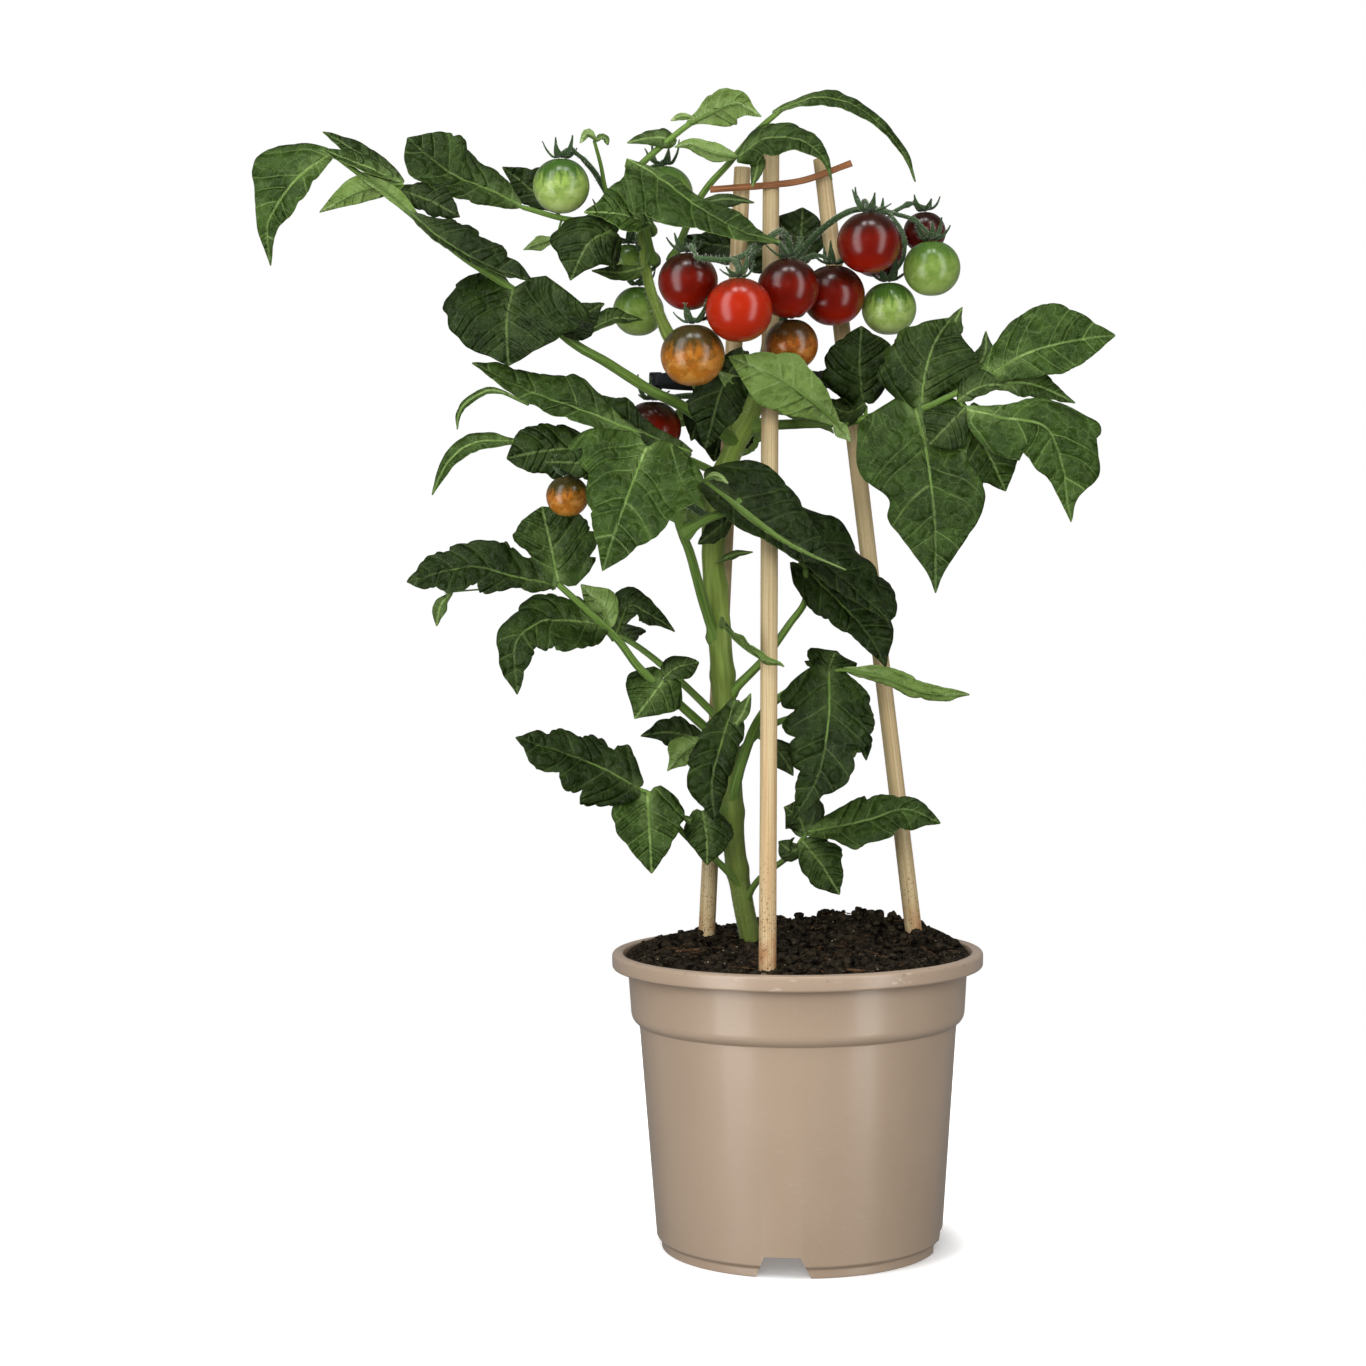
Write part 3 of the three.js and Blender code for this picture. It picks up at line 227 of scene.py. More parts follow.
# points: pixels across and down in the photograph, and the depth chosen for them. widths: pixels
LEAVES_IN_PHOTO = {
    "leaf_upper_left": Leaf((3.4, 1.2), [(738, 444, 24), (704, 420, 11), (680, 404, 5), (650, 390, -2),
        (607, 364, -10), (569, 340, -18), (515, 292, -28), (460, 255, -35), (400, 205, -40),
        (330, 152, -45)], dict(
        tip=Leaflet([(332, 152, -45), (297, 180, -52), (268, 222, -58), (271, 266, -60)],
            (12, 17, 19, 18, 12, 6), (31, 43, 38, 24, 13, 5), (-0.2, -1, 0.3), tone=0.25, heart=0.1,
            lobes=0.25),
        cape=Leaflet([(402, 182, -41), (366, 166, -46), (322, 149, -49)], (6, 9, 9, 6), (7, 10, 10, 6),
            UPWARD, tone=0.35, heart=0, lobes=0.2),
        wing=Leaflet([(350, 168, -47), (392, 196, -44), (428, 229, -41)], (4, 6, 6, 3), (4, 7, 7, 4),
            TURNED_OVER, heart=0, lobes=0.3),
        tip_upper=Leaflet([(403, 182, -38), (360, 155, -40), (323, 131, -42)], (8, 9, 6), (10, 11, 7),
            UPWARD, tone=0.6, lobes=0.15),
        tip_under=Leaflet([(403, 184, -40), (365, 190, -43), (319, 213, -44)], (14, 16, 13, 8),
            (10, 12, 10, 5), TURNED_OVER, heart=0, lobes=0.1),
        rolled=Leaflet([(410, 212, -44), (440, 236, -47), (484, 264, -45), (533, 281, -40)],
            (12, 22, 26, 28, 24, 12), (6, 8, 8, 8, 7, 5), (0.2, -0.8, 0.6), tone=0.9, heart=0, lobes=0.7),
        shade=Leaflet([(398, 190, -36), (430, 200, -34), (459, 216, -32)], (12, 18, 18, 12),
            (12, 16, 16, 10), OUTWARD, tone=1, lobes=0.8),
        broad=Leaflet([(514, 287, -30), (506, 322, -38), (509, 366, -42)], (66, 90, 80, 70, 50, 26),
            (52, 62, 62, 54, 42, 22), (0, -1, 0.2), tone=0.75, heart=0.3, lobes=0.3),
        side=Leaflet([(548, 308, -26), (577, 316, -24), (605, 304, -20)], (14, 16, 14, 8),
            (16, 24, 20, 8), OUTWARD, tone=0.9),
        small=Leaflet([(584, 335, -16), (612, 318, -12), (643, 319, -8)], (8, 12, 10, 5), (5, 7, 7, 4),
            UPWARD),
    )),
    "leaf_top_left": Leaf((2.4, 1.3), [(650, 232, 24), (645, 216, 12), (612, 218, 6), (571, 220, 2),
        (524, 207, -8)], dict(
        tip=Leaflet([(522, 206, -8), (490, 190, -15), (455, 175, -22), (425, 152, -26), (408, 138, -28)],
            (14, 18, 22, 26, 30, 26), (14, 20, 27, 31, 31, 24), (0, -0.85, 0.5), tone=0.55, heart=0.1,
            lobes=0.35),
        bud_leaf=Leaflet([(510, 190, -2), (493, 178, 0), (476, 168, 2)], (7, 8, 5), (7, 8, 5), UPWARD,
            tone=0.8),
        upper=Leaflet([(552, 208, 14), (530, 188, 20), (503, 166, 18)], (14, 17, 15, 8),
            (14, 22, 20, 10), OUTWARD, tone=0.85),
        lower=Leaflet([(612, 230, -4), (588, 244, -12), (571, 280, -18)], (32, 36, 28, 18, 8),
            (24, 34, 38, 30, 14), (0.1, -1, 0.2), tone=0.7, lobes=0.4),
        ragged=Leaflet([(556, 238, 4), (540, 243, 6), (524, 250, 8)], (5, 7, 4), (5, 7, 4), TURNED_OVER),
    )),
    "leaf_crown_mid": Leaf((2.2, 1.6), [(652, 262, 26), (649, 240, 14), (640, 205, 0), (628, 165, -8)],
        dict(
        ridge=Leaflet([(627, 158, -8), (663, 180, -15), (700, 208, -22), (740, 230, -27),
            (781, 243, -29)], (6, 8, 10, 12, 14, 8), (36, 46, 42, 26, 16, 8), (0.15, -0.75, 0.65),
            tone=0.35, heart=0, lobes=0.4),
        flap=Leaflet([(654, 224, -6), (620, 214, -10), (584, 211, -12)], (14, 16, 12, 6),
            (22, 38, 28, 10), (0, -0.8, 0.6), tone=0, lobes=0.3, heart=0),
        small=Leaflet([(690, 206, -2), (727, 199, -4), (754, 203, -6)], (4, 6, 6, 4), (6, 10, 9, 4),
            OUTWARD, tone=0.8),
        shaded=Leaflet([(644, 268, 12), (620, 272, 8), (592, 270, 6)], (5, 9, 9, 5), (5, 8, 8, 4),
            OUTWARD),
    )),
    "leaf_crown_pale": Leaf((2.2, 1.5), [(643, 225, 24), (616, 196, 6), (644, 163, 2), (678, 133, 2),
        (692, 123, 2)], dict(
        tip=Leaflet([(688, 124, 2), (712, 112, -2), (738, 104, -5), (761, 116, -6)], (6, 16, 20, 16, 7),
            (8, 15, 17, 13, 5), TURNED_OVER, heart=0.3, lobes=0.3),
        tip_small=Leaflet([(694, 119, 2), (683, 117, 2), (671, 121, 2)], (3, 4, 3), (3, 4, 3),
            TURNED_OVER),
        folded=Leaflet([(677, 140, 4), (655, 138, 0), (627, 142, -4)], (11, 10, 7, 4), (11, 10, 7, 5),
            OUTWARD, tone=0.5),
    )),
    "leaf_crown_tall": Leaf((2.3, 1.4), [(672, 262, 30), (701, 198, 22), (730, 162, 12), (754, 133, 6),
        (781, 110, 4)], dict(
        arch=Leaflet([(738, 157, 2), (765, 139, -6), (800, 140, -12), (822, 157, -16), (833, 180, -17)],
            (12, 16, 18, 16, 10, 5), (14, 17, 18, 14, 8, 3), UPWARD, tone=0.5, lobes=0.3),
        arch_left=Leaflet([(738, 158, 2), (713, 152, 0), (690, 144, 2), (675, 146, 4)], (9, 10, 6),
            (7, 8, 6), TURNED_OVER, lobes=0.3),
        hanging=Leaflet([(757, 142, -2), (758, 165, -4), (751, 186, -4)], (5, 7, 5), (5, 7, 5), OUTWARD),
        whip=Leaflet([(772, 112, 4), (815, 98, 2), (850, 103, 4), (880, 124, 8), (902, 152, 12),
            (916, 181, 15)], (7, 9, 9, 7, 6, 4), (6, 8, 8, 6, 4, 2), UPWARD),
    )),
    "sprout": Leaf((1.6, 0.9), [(640, 228, 22), (622, 205, 18), (607, 193, 14), (601, 165, 8),
        (594, 141, 2)], dict(
        tip=Leaflet([(596, 140, 0), (588, 134, -2), (580, 142, -4)], (4, 5, 3), (3, 4, 3), TURNED_OVER),
        side=Leaflet([(596, 141, 0), (604, 137, 2), (609, 146, 3)], (3, 4, 3), (3, 4, 3), UPWARD),
    )),
    "leaf_right": Leaf((3, 1.4), [(752, 425, 24), (800, 424, 13), (845, 422, 3), (885, 415, -8),
        (921, 409, -28), (950, 395, -32), (985, 380, -34)], dict(
        hanging=Leaflet([(916, 410, -30), (925, 450, -40), (934, 515, -50), (936, 593, -54)],
            (46, 52, 38, 42, 53, 46, 34, 21, 9), (56, 68, 71, 65, 45, 46, 37, 22, 9), (0, -1, 0.25),
            tone=0.4, heart=0.35, lobes=0.12),
        upper=Leaflet([(921, 404, -28), (926, 372, -30), (934, 342, -27), (951, 317, -22)],
            (42, 46, 44, 34, 18), (34, 50, 52, 44, 24), (0, -0.8, 0.6), tone=0.6, heart=0.2, lobes=0.4),
        tip=Leaflet([(985, 380, -34), (1022, 356, -40), (1065, 342, -44), (1115, 335, -46)],
            (22, 34, 40, 36, 20), (16, 26, 32, 30, 18), (0.1, -1, 0.3), tone=0.1, lobes=0.2),
        outer=Leaflet([(965, 410, -36), (1003, 417, -45), (1044, 427, -53), (1062, 465, -56),
            (1067, 500, -58), (1072, 521, -58)], (8, 14, 22, 32, 50, 40, 32, 10),
            (20, 38, 42, 42, 34, 26, 15, 6), (0.1, -1, 0.3), tone=0.12, heart=0.2, lobes=0.35),
        base_lobe=Leaflet([(966, 407, -38), (949, 424, -43), (930, 444, -46)], (12, 22, 26, 19),
            (14, 24, 26, 17), (0, -1, 0.2), tone=0.75, heart=0, lobes=0.3, stalked=0),
        crown_lobe=Leaflet([(956, 401, -34), (980, 387, -36), (1008, 384, -38)], (12, 16, 14, 6),
            (8, 10, 10, 5), (0, -0.9, 0.4), tone=0.65, heart=0, lobes=0.4, stalked=0),
        ridge_lobe=Leaflet([(972, 376, -28), (984, 354, -26), (986, 330, -24)], (6, 9, 8, 4),
            (8, 11, 9, 4), OUTWARD, tone=0.7, heart=0, stalked=0),
        pale_lobe=Leaflet([(752, 396, -18), (734, 385, -18), (716, 371, -20)], (8, 10, 7, 4),
            (6, 9, 8, 5), TURNED_OVER, lobes=0.2, heart=0, stalked=0),
        pale_tip=Leaflet([(833, 420, -11), (841, 430, -11), (851, 442, -12)], (6, 7, 4), (6, 7, 4),
            TURNED_OVER, lobes=0.3, heart=0, stalked=0),
        inner=Leaflet([(968, 410, -32), (984, 445, -40), (1006, 491, -44)], (24, 38, 38, 30, 16),
            (38, 50, 46, 34, 16), (0, -1, 0.2), tone=0.5, lobes=0.4),
        shade=Leaflet([(932, 412, -16), (948, 440, -14), (967, 474, -12)], (20, 28, 26, 12),
            (18, 26, 22, 12), OUTWARD, tone=1),
        narrow=Leaflet([(984, 384, -34), (1030, 384, -40), (1075, 402, -46)], (10, 14, 13, 6),
            (10, 15, 14, 7), OUTWARD, tone=0.5),
        round=Leaflet([(864, 402, 0), (859, 372, -6), (860, 350, -8), (862, 326, -6)],
            (28, 38, 37, 30, 18), (24, 36, 40, 36, 22), (0, -1, 0.2), tone=0.9, lobes=0.5),
        peak=Leaflet([(946, 350, -12), (952, 330, -10), (962, 306, -8)], (8, 12, 10, 5), (8, 12, 9, 4),
            OUTWARD),
        pale=Leaflet([(840, 426, -8), (806, 396, -22), (770, 374, -27), (729, 357, -28)],
            (10, 18, 24, 30, 22, 12), (10, 20, 28, 32, 30, 16), (0, 1, 0.2), lobes=0.25, heart=0),
        collar=Leaflet([(866, 404, -2), (846, 412, 2), (822, 400, 6)], (10, 16, 18, 10), (8, 14, 15, 8),
            OUTWARD, tone=0.9),
    )),
    "leaf_front": Leaf((3.2, 1.8), [(716, 640, 24), (702, 597, 8), (690, 555, -10), (681, 528, -26),
        (668, 480, -42), (649, 448, -52)], dict(
        broad=Leaflet([(646, 446, -52), (632, 485, -68), (616, 530, -84), (602, 571, -94)],
            (52, 72, 66, 54, 44, 32, 18), (72, 60, 47, 40, 30, 20, 10), OUTWARD, tone=0.2, heart=0.3,
            lobes=0.35),
        rim=Leaflet([(703, 480, -40), (735, 504, -42), (765, 528, -43), (800, 549, -43),
            (845, 570, -39)], (2, 3.5, 4, 3, 2, 1), (1.5, 3, 3, 2, 1.5, 1), TURNED_OVER, heart=0,
            lobes=0.1, stalked=0),
        curl=Leaflet([(704, 479, -41), (716, 476, -44), (729, 483, -45)], (3, 5, 3), (3, 4, 3),
            TURNED_OVER, heart=0, stalked=0),
        crossing=Leaflet([(704, 480, -34), (762, 524, -37), (805, 549, -37), (846, 570, -34)],
            (44, 50, 46, 38, 26, 12), (16, 18, 16, 14, 12, 6), (0.2, -0.9, 0.5), tone=1, heart=0.2,
            lobes=0.2),
        under=Leaflet([(734, 515, -20), (716, 530, -16), (699, 545, -12)], (10, 14, 12, 7),
            (9, 12, 10, 6), OUTWARD, tone=1),
    ), fork=[(684, 532, -24), (706, 520, -30), (728, 511, -32), (740, 500, -34)]),
    "leaf_right_low": Leaf((2.8, 1.6), [(728, 695, 24), (762, 661, 16), (790, 624, 10), (806, 600, 6),
        (806, 570, 0)], dict(
        upper=Leaflet([(758, 503, 0), (803, 545, -10), (850, 584, -18), (889, 621, -22)],
            (26, 36, 40, 36, 28, 14), (14, 18, 18, 16, 12, 6), (0.3, -0.8, 0.5), tone=1, lobes=0.15),
        lower=Leaflet([(800, 563, 4), (838, 600, -2), (866, 632, -7), (886, 667, -10)],
            (20, 38, 50, 46, 36, 16), (20, 24, 22, 18, 14, 8), (0.2, -1, 0.3), tone=1, lobes=0.5),
        thin=Leaflet([(715, 563, 14), (735, 554, 6), (752, 552, 2)], (3, 4, 3), (3, 4, 3), OUTWARD,
            tone=0.6, stalked=0),
    )),
    "leaf_left_mid": Leaf((2.4, 1.2), [(726, 478, 26), (690, 460, 0), (640, 447, -20), (590, 446, -24),
        (514, 440, -28)], dict(
        blade=Leaflet([(640, 432, -34), (590, 414, -34), (530, 391, -35), (472, 363, -40)],
            (12, 15, 15, 14, 11, 7), (6, 22, 30, 24, 16, 12), (-0.1, -0.8, 0.6), tone=0.45, lobes=0.4),
        veil=Leaflet([(608, 463, -40), (582, 463, -62), (545, 463, -67)], (9, 15, 15, 8),
            (10, 15, 14, 8), (0, -1, 0.25), tone=0.7, heart=0, lobes=0.25, stalked=0),
        behind=Leaflet([(692, 453, -18), (640, 431, -24), (580, 392, -26)], (16, 22, 20, 16, 10),
            (8, 10, 16, 20, 10), OUTWARD, tone=0.8),
        curl=Leaflet([(528, 404, -34), (494, 391, -31), (471, 399, -28), (458, 414, -28),
            (457, 430, -28)], (1, 3, 4, 4, 3), (1, 3, 4, 4, 3), OUTWARD, tone=0.2, stalked=0),
        tip=Leaflet([(520, 440, -26), (475, 442, -32), (449, 462, -36), (432, 494, -38)], (7, 10, 9, 6),
            (7, 10, 9, 5), UPWARD, tone=0.2, lobes=0.2),
        lower=Leaflet([(594, 446, -22), (550, 450, -30), (506, 458, -34)], (28, 28, 27, 22, 18),
            (20, 26, 28, 30, 22), (0, -1, 0.25), tone=0.7, lobes=0.4),
    )),
    "leaf_left_low": Leaf((2.8, 1.6), [(720, 742, 22), (676, 702, 2), (640, 668, -10), (618, 640, -20),
        (590, 612, -27), (558, 584, -32)], dict(
        tip_up=Leaflet([(559, 583, -33), (549, 540, -34), (541, 507, -32)], (14, 18, 24, 32, 34, 24),
            (34, 46, 48, 44, 38, 26), (0, -1, 0.3), tone=0.5, heart=0.3, lobes=0.5),
        tip_left=Leaflet([(556, 584, -32), (515, 577, -40), (470, 566, -48), (406, 582, -56)],
            (12, 16, 22, 26, 24, 20), (18, 26, 30, 22, 24, 14), (0, -0.9, 0.5), tone=0.8, heart=0.1,
            lobes=1.1),
        ragged=Leaflet([(452, 592, -51), (440, 606, -53), (436, 625, -54)], (4, 8, 5), (4, 8, 5),
            OUTWARD),
        fold=Leaflet([(604, 624, -24), (565, 620, -35), (537, 623, -41), (515, 645, -47),
            (518, 694, -51)], (28, 32, 32, 27, 20, 12), (20, 26, 26, 22, 18, 12), (0, -0.9, 0.5),
            tone=0.6, lobes=0.7),
        pale=Leaflet([(610, 628, -22), (602, 606, -24), (580, 585, -26)], (12, 18, 16, 8),
            (10, 16, 14, 7), TURNED_OVER, lobes=0.2),
        rolled=Leaflet([(616, 636, -18), (630, 606, -18), (652, 615, -12), (675, 632, -8)],
            (9, 13, 11, 7), (7, 11, 10, 6), UPWARD, tone=0.8),
        heart=Leaflet([(664, 681, -6), (650, 698, -11), (634, 718, -15)], (26, 26, 20, 9),
            (30, 31, 25, 12), (0, -1, 0.4), tone=0.4, heart=0.6, lobes=0.12),
        ear=Leaflet([(664, 678, -5), (676, 668, -4), (700, 662, -2)], (10, 13, 12, 8), (8, 12, 13, 9),
            UPWARD, tone=0.7, lobes=0.1),
    )),
    "leaf_left_bottom": Leaf((2.2, 1.3), [(742, 888, 26), (718, 862, 12), (692, 843, 4), (676, 825, -1),
        (648, 792, -8)], dict(
        tip=Leaflet([(640, 788, -8), (600, 766, -18), (560, 751, -26), (516, 738, -32)],
            (28, 34, 37, 30, 26, 17), (25, 27, 25, 23, 19, 12), (0, -0.9, 0.5), tone=0.8, heart=0.2,
            lobes=0.9),
        heart=Leaflet([(648, 795, -8), (650, 833, -15), (652, 874, -21)], (34, 36, 30, 22, 12),
            (34, 36, 31, 22, 11), (0, -1, 0.3), tone=0.3, heart=0.45, lobes=0.2),
    )),
    "leaf_stem_small": Leaf((1.4, 1), [(733, 828, 24), (718, 818, 6), (704, 812, -4)], dict(
        tip=Leaflet([(703, 811, -4), (706, 838, -10), (706, 866, -13)], (22, 27, 24, 14),
            (19, 21, 18, 10), (0, -1, 0.3), tone=0.6, heart=0.35, lobes=0.2),
        ear=Leaflet([(702, 815, -4), (692, 820, -6), (681, 815, -7)], (4, 6, 3), (3, 4, 3), OUTWARD),
    )),
    "leaf_stem_front": Leaf((1.6, 1.3), [(729, 718, 24), (733, 712, 10), (735, 702, 0)], dict(
        blade=Leaflet([(735, 701, 0), (721, 742, -10), (713, 780, -16), (714, 820, -18)],
            (16, 19, 18, 18, 16, 9), (12, 22, 24, 28, 26, 13), (-0.1, -1, 0.3), tone=0.75, lobes=0.4),
        lobe=Leaflet([(733, 728, -6), (742, 712, -8), (750, 693, -9)], (5, 8, 8, 4), (4, 6, 6, 4),
            OUTWARD),
    )),
    "leaf_stem_back": Leaf((1.6, 1.3), [(726, 760, 26), (712, 748, 34), (698, 738, 40)], dict(
        dark=Leaflet([(704, 740, 40), (668, 732, 44), (640, 736, 46)], (12, 15, 13, 6), (11, 17, 14, 7),
            OUTWARD, tone=0.8),
        pale=Leaflet([(704, 741, 35), (684, 752, 35), (668, 771, 36)], (10, 17, 15, 6), (10, 16, 14, 6),
            TURNED_OVER),
    )),
    "side_shoot": Leaf((3.4, 1.8), [(729, 812, 24), (742, 762, 16), (762, 716, 9), (790, 690, 2),
        (828, 672, -6)], dict(
        broad=Leaflet([(829, 671, -8), (829, 720, -20), (818, 775, -28), (792, 820, -31)],
            (26, 36, 44, 40, 32, 20, 9), (44, 46, 43, 37, 29, 19, 9), (0, -1, 0.3), tone=0.75, heart=0.3,
            lobes=0.8),
        slit=Leaflet([(838, 668, -6), (856, 704, -14), (866, 760, -19)], (10, 15, 14, 9),
            (10, 14, 14, 9), (0.2, -1, 0.2), tone=0.8, lobes=0.9),
        crest=Leaflet([(828, 672, -2), (832, 660, 2), (838, 650, 4)], (22, 28, 24, 12), (24, 30, 25, 12),
            UPWARD, tone=0.8, lobes=0.8),
        pale=Leaflet([(842, 668, -8), (884, 677, -14), (928, 692, -19), (969, 694, -21)],
            (6, 9, 10, 9, 6), (7, 10, 10, 9, 6), (0, 0.8, 0.5)),
        small=Leaflet([(766, 742, 8), (780, 752, 5), (794, 776, 4)], (9, 15, 13, 6), (8, 12, 11, 6),
            OUTWARD, tone=1),
    )),
    "leaf_curl": Leaf((1.5, 1.2), [(722, 628, 24), (722, 622, 10), (721, 618, 6)], dict(
        blade=Leaflet([(721, 618, 5), (736, 638, -20), (760, 658, -41), (784, 665, -48)], (4, 7, 8, 6),
            (4, 7, 8, 6), (0.3, 0.6, 0.7)),
    )),
    "leaf_bottom_right": Leaf((2, 1.3), [(744, 900, 27), (760, 878, 17), (791, 855, 3), (802, 840, -5)],
        dict(
        long=Leaflet([(808, 832, -7), (865, 820, -15), (905, 810, -19), (940, 824, -21)],
            (14, 18, 20, 16, 12), (12, 24, 25, 22, 14), (0, -0.8, 0.6)),
        up=Leaflet([(805, 836, -5), (800, 820, -6), (784, 806, -6)], (12, 18, 16, 8), (18, 28, 24, 12),
            (0, -0.8, 0.6), tone=0.7),
        down=Leaflet([(802, 842, -6), (822, 864, -14), (839, 894, -18)], (20, 24, 20, 12),
            (15, 20, 19, 13), OUTWARD, tone=0.6, lobes=0.5),
        ear=Leaflet([(801, 846, -4), (790, 850, -4), (779, 842, -4)], (9, 12, 8), (10, 14, 10), OUTWARD,
            tone=0.9),
    )),
    # painted shade: these leaflets are painted darkest, as leaves lying in deep shadow behind the fruit and
    # the hoop
    "leaf_shade": Leaf((1.6, 1.4), [(742, 398, 30), (738, 392, 36), (732, 388, 42)], dict(
        blade=Leaflet([(735, 384, 42), (724, 420, 46), (714, 462, 48)], (24, 34, 36, 32, 16),
            (22, 34, 36, 32, 16), OUTWARD, tone=1),
        low=Leaflet([(724, 392, 38), (703, 412, 32), (690, 440, 30)], (14, 22, 22, 12), (12, 18, 18, 10),
            OUTWARD, tone=1),
        high=Leaflet([(738, 388, 40), (760, 384, 44), (786, 398, 46)], (12, 18, 18, 9), (10, 16, 16, 9),
            OUTWARD, tone=1),
        cover=Leaflet([(744, 350, -15), (722, 386, -17), (706, 448, -12)], (16, 26, 27, 22, 12),
            (16, 26, 30, 26, 13), OUTWARD, tone=1, lobes=0.5, stalked=0),
    )),
    # painted shade: painted darkest, as leaves lying in shadow behind the fruit
    "leaf_crown_back": Leaf((1.8, 1.2), [(756, 400, 34), (768, 330, 46), (790, 270, 54), (800, 256, 58)],
        dict(
        blade=Leaflet([(800, 262, 58), (802, 235, 62), (802, 208, 64)], (20, 30, 32, 28, 16),
            (16, 26, 28, 24, 14), OUTWARD, tone=1),
        low=Leaflet([(800, 268, 54), (766, 254, 60), (722, 244, 64)], (16, 24, 24, 18, 10),
            (14, 20, 20, 16, 8), OUTWARD, tone=1),
        wide=Leaflet([(770, 250, 58), (730, 246, 62), (680, 238, 62)], (14, 22, 20, 10), (12, 18, 16, 8),
            OUTWARD, tone=1, stalked=0),
    )),
}
# points and widths in millimetres, as these are out of sight
LEAVES_BEHIND = {
    "leaf_back_high": Leaf((2.6, 1.5), [(-21, 26, 420), (-20, 50, 430), (-22, 78, 437), (-26, 104, 436)],
        dict(
        tip=Leaflet([(-26, 104, 436), (-28, 126, 428), (-30, 146, 410)], (12, 22, 20, 12),
            (14, 24, 20, 12), (0, 0.5, 0.85)),
        right=Leaflet([(-21, 68, 435), (4, 78, 435), (26, 88, 422)], (8, 14, 12, 7), (8, 14, 12, 7),
            (0.3, 0.5, 0.8)),
        left=Leaflet([(-22, 74, 437), (-46, 86, 437), (-66, 96, 424)], (8, 14, 12, 7), (8, 14, 12, 7),
            (-0.3, 0.5, 0.8)),
    )),
    "leaf_back_mid": Leaf((2.8, 1.5), [(-40, 26, 368), (-49, 50, 388), (-50, 84, 398), (-51, 108, 395)],
        dict(
        tip=Leaflet([(-50, 108, 395), (-53, 130, 387), (-56, 148, 372)], (14, 24, 22, 12),
            (14, 22, 20, 12), (0, 0.5, 0.85)),
        right=Leaflet([(-49, 66, 395), (-24, 78, 395), (-6, 88, 385)], (8, 13, 12, 6), (8, 13, 12, 6),
            (0.3, 0.5, 0.8)),
        left=Leaflet([(-50, 70, 396), (-66, 82, 395), (-88, 94, 384)], (8, 14, 12, 7), (8, 14, 12, 7),
            (-0.3, 0.5, 0.8)),
    )),
    "leaf_back_right": Leaf((2.4, 1.4), [(-33, 27, 246), (-16, 46, 262), (4, 70, 268), (20, 92, 262)],
        dict(
        tip=Leaflet([(20, 92, 262), (27, 108, 253), (32, 124, 238)], (10, 17, 15, 8), (10, 17, 15, 8),
            (0.2, 0.5, 0.85)),
        right=Leaflet([(10, 78, 267), (28, 84, 271), (43, 90, 263)], (6, 11, 10, 5), (6, 11, 10, 5),
            (0.3, 0.4, 0.85)),
    )),
    "leaf_back_left": Leaf((2.4, 1.4), [(-37, 26, 268), (-60, 44, 290), (-84, 60, 309), (-110, 76, 321)],
        dict(
        tip=Leaflet([(-110, 76, 321), (-122, 86, 326), (-134, 96, 320)], (8, 13, 11, 6), (8, 13, 11, 6),
            (-0.2, 0.6, 0.8)),
        right=Leaflet([(-86, 61, 310), (-92, 84, 318), (-96, 104, 310)], (8, 14, 12, 6), (8, 14, 12, 6),
            (0, 0.5, 0.85)),
    )),
}

# clods of soil on the mound and at the edge: x, y, size
CLODS = [
    (18, 70, 3.2), (26, 68, 2.6), (38, 66, 3.4), (44, 58, 3.0), (60, 38, 3.0), (68, 20, 3.2),
    (64, 4, 2.6), (-8, 66, 2.4), (-30, 60, 2.2), (30, 30, 2.6), (50, -10, 2.4), (10, 40, 2.4),
]
# loose sticks and a bark chip on the soil: points, thickness, material
STICKS = [
    ([(-62, -2, 151.5), (-54, -1, 152.2), (-46, 0, 152)], 0.9, 1),
    ([(-46, 64, 152), (-40, 66, 153)], 1.5, 1),
    ([(20, -58, 149.5), (28, -62, 149.6), (35, -62, 149)], 0.7, 1),
    ([(-20, -66, 148.6), (-14, -70, 148.4)], 0.8, 2),
]

# ---- materials ----
def paint(code):
    """A linear colour from a hex code."""
    parts = [int(code[i:i + 2], 16) / 255 for i in (0, 2, 4)]
    return (*[part / 12.92 if part <= 0.04045 else ((part + 0.055) / 1.055) ** 2.4 for part in parts], 1)


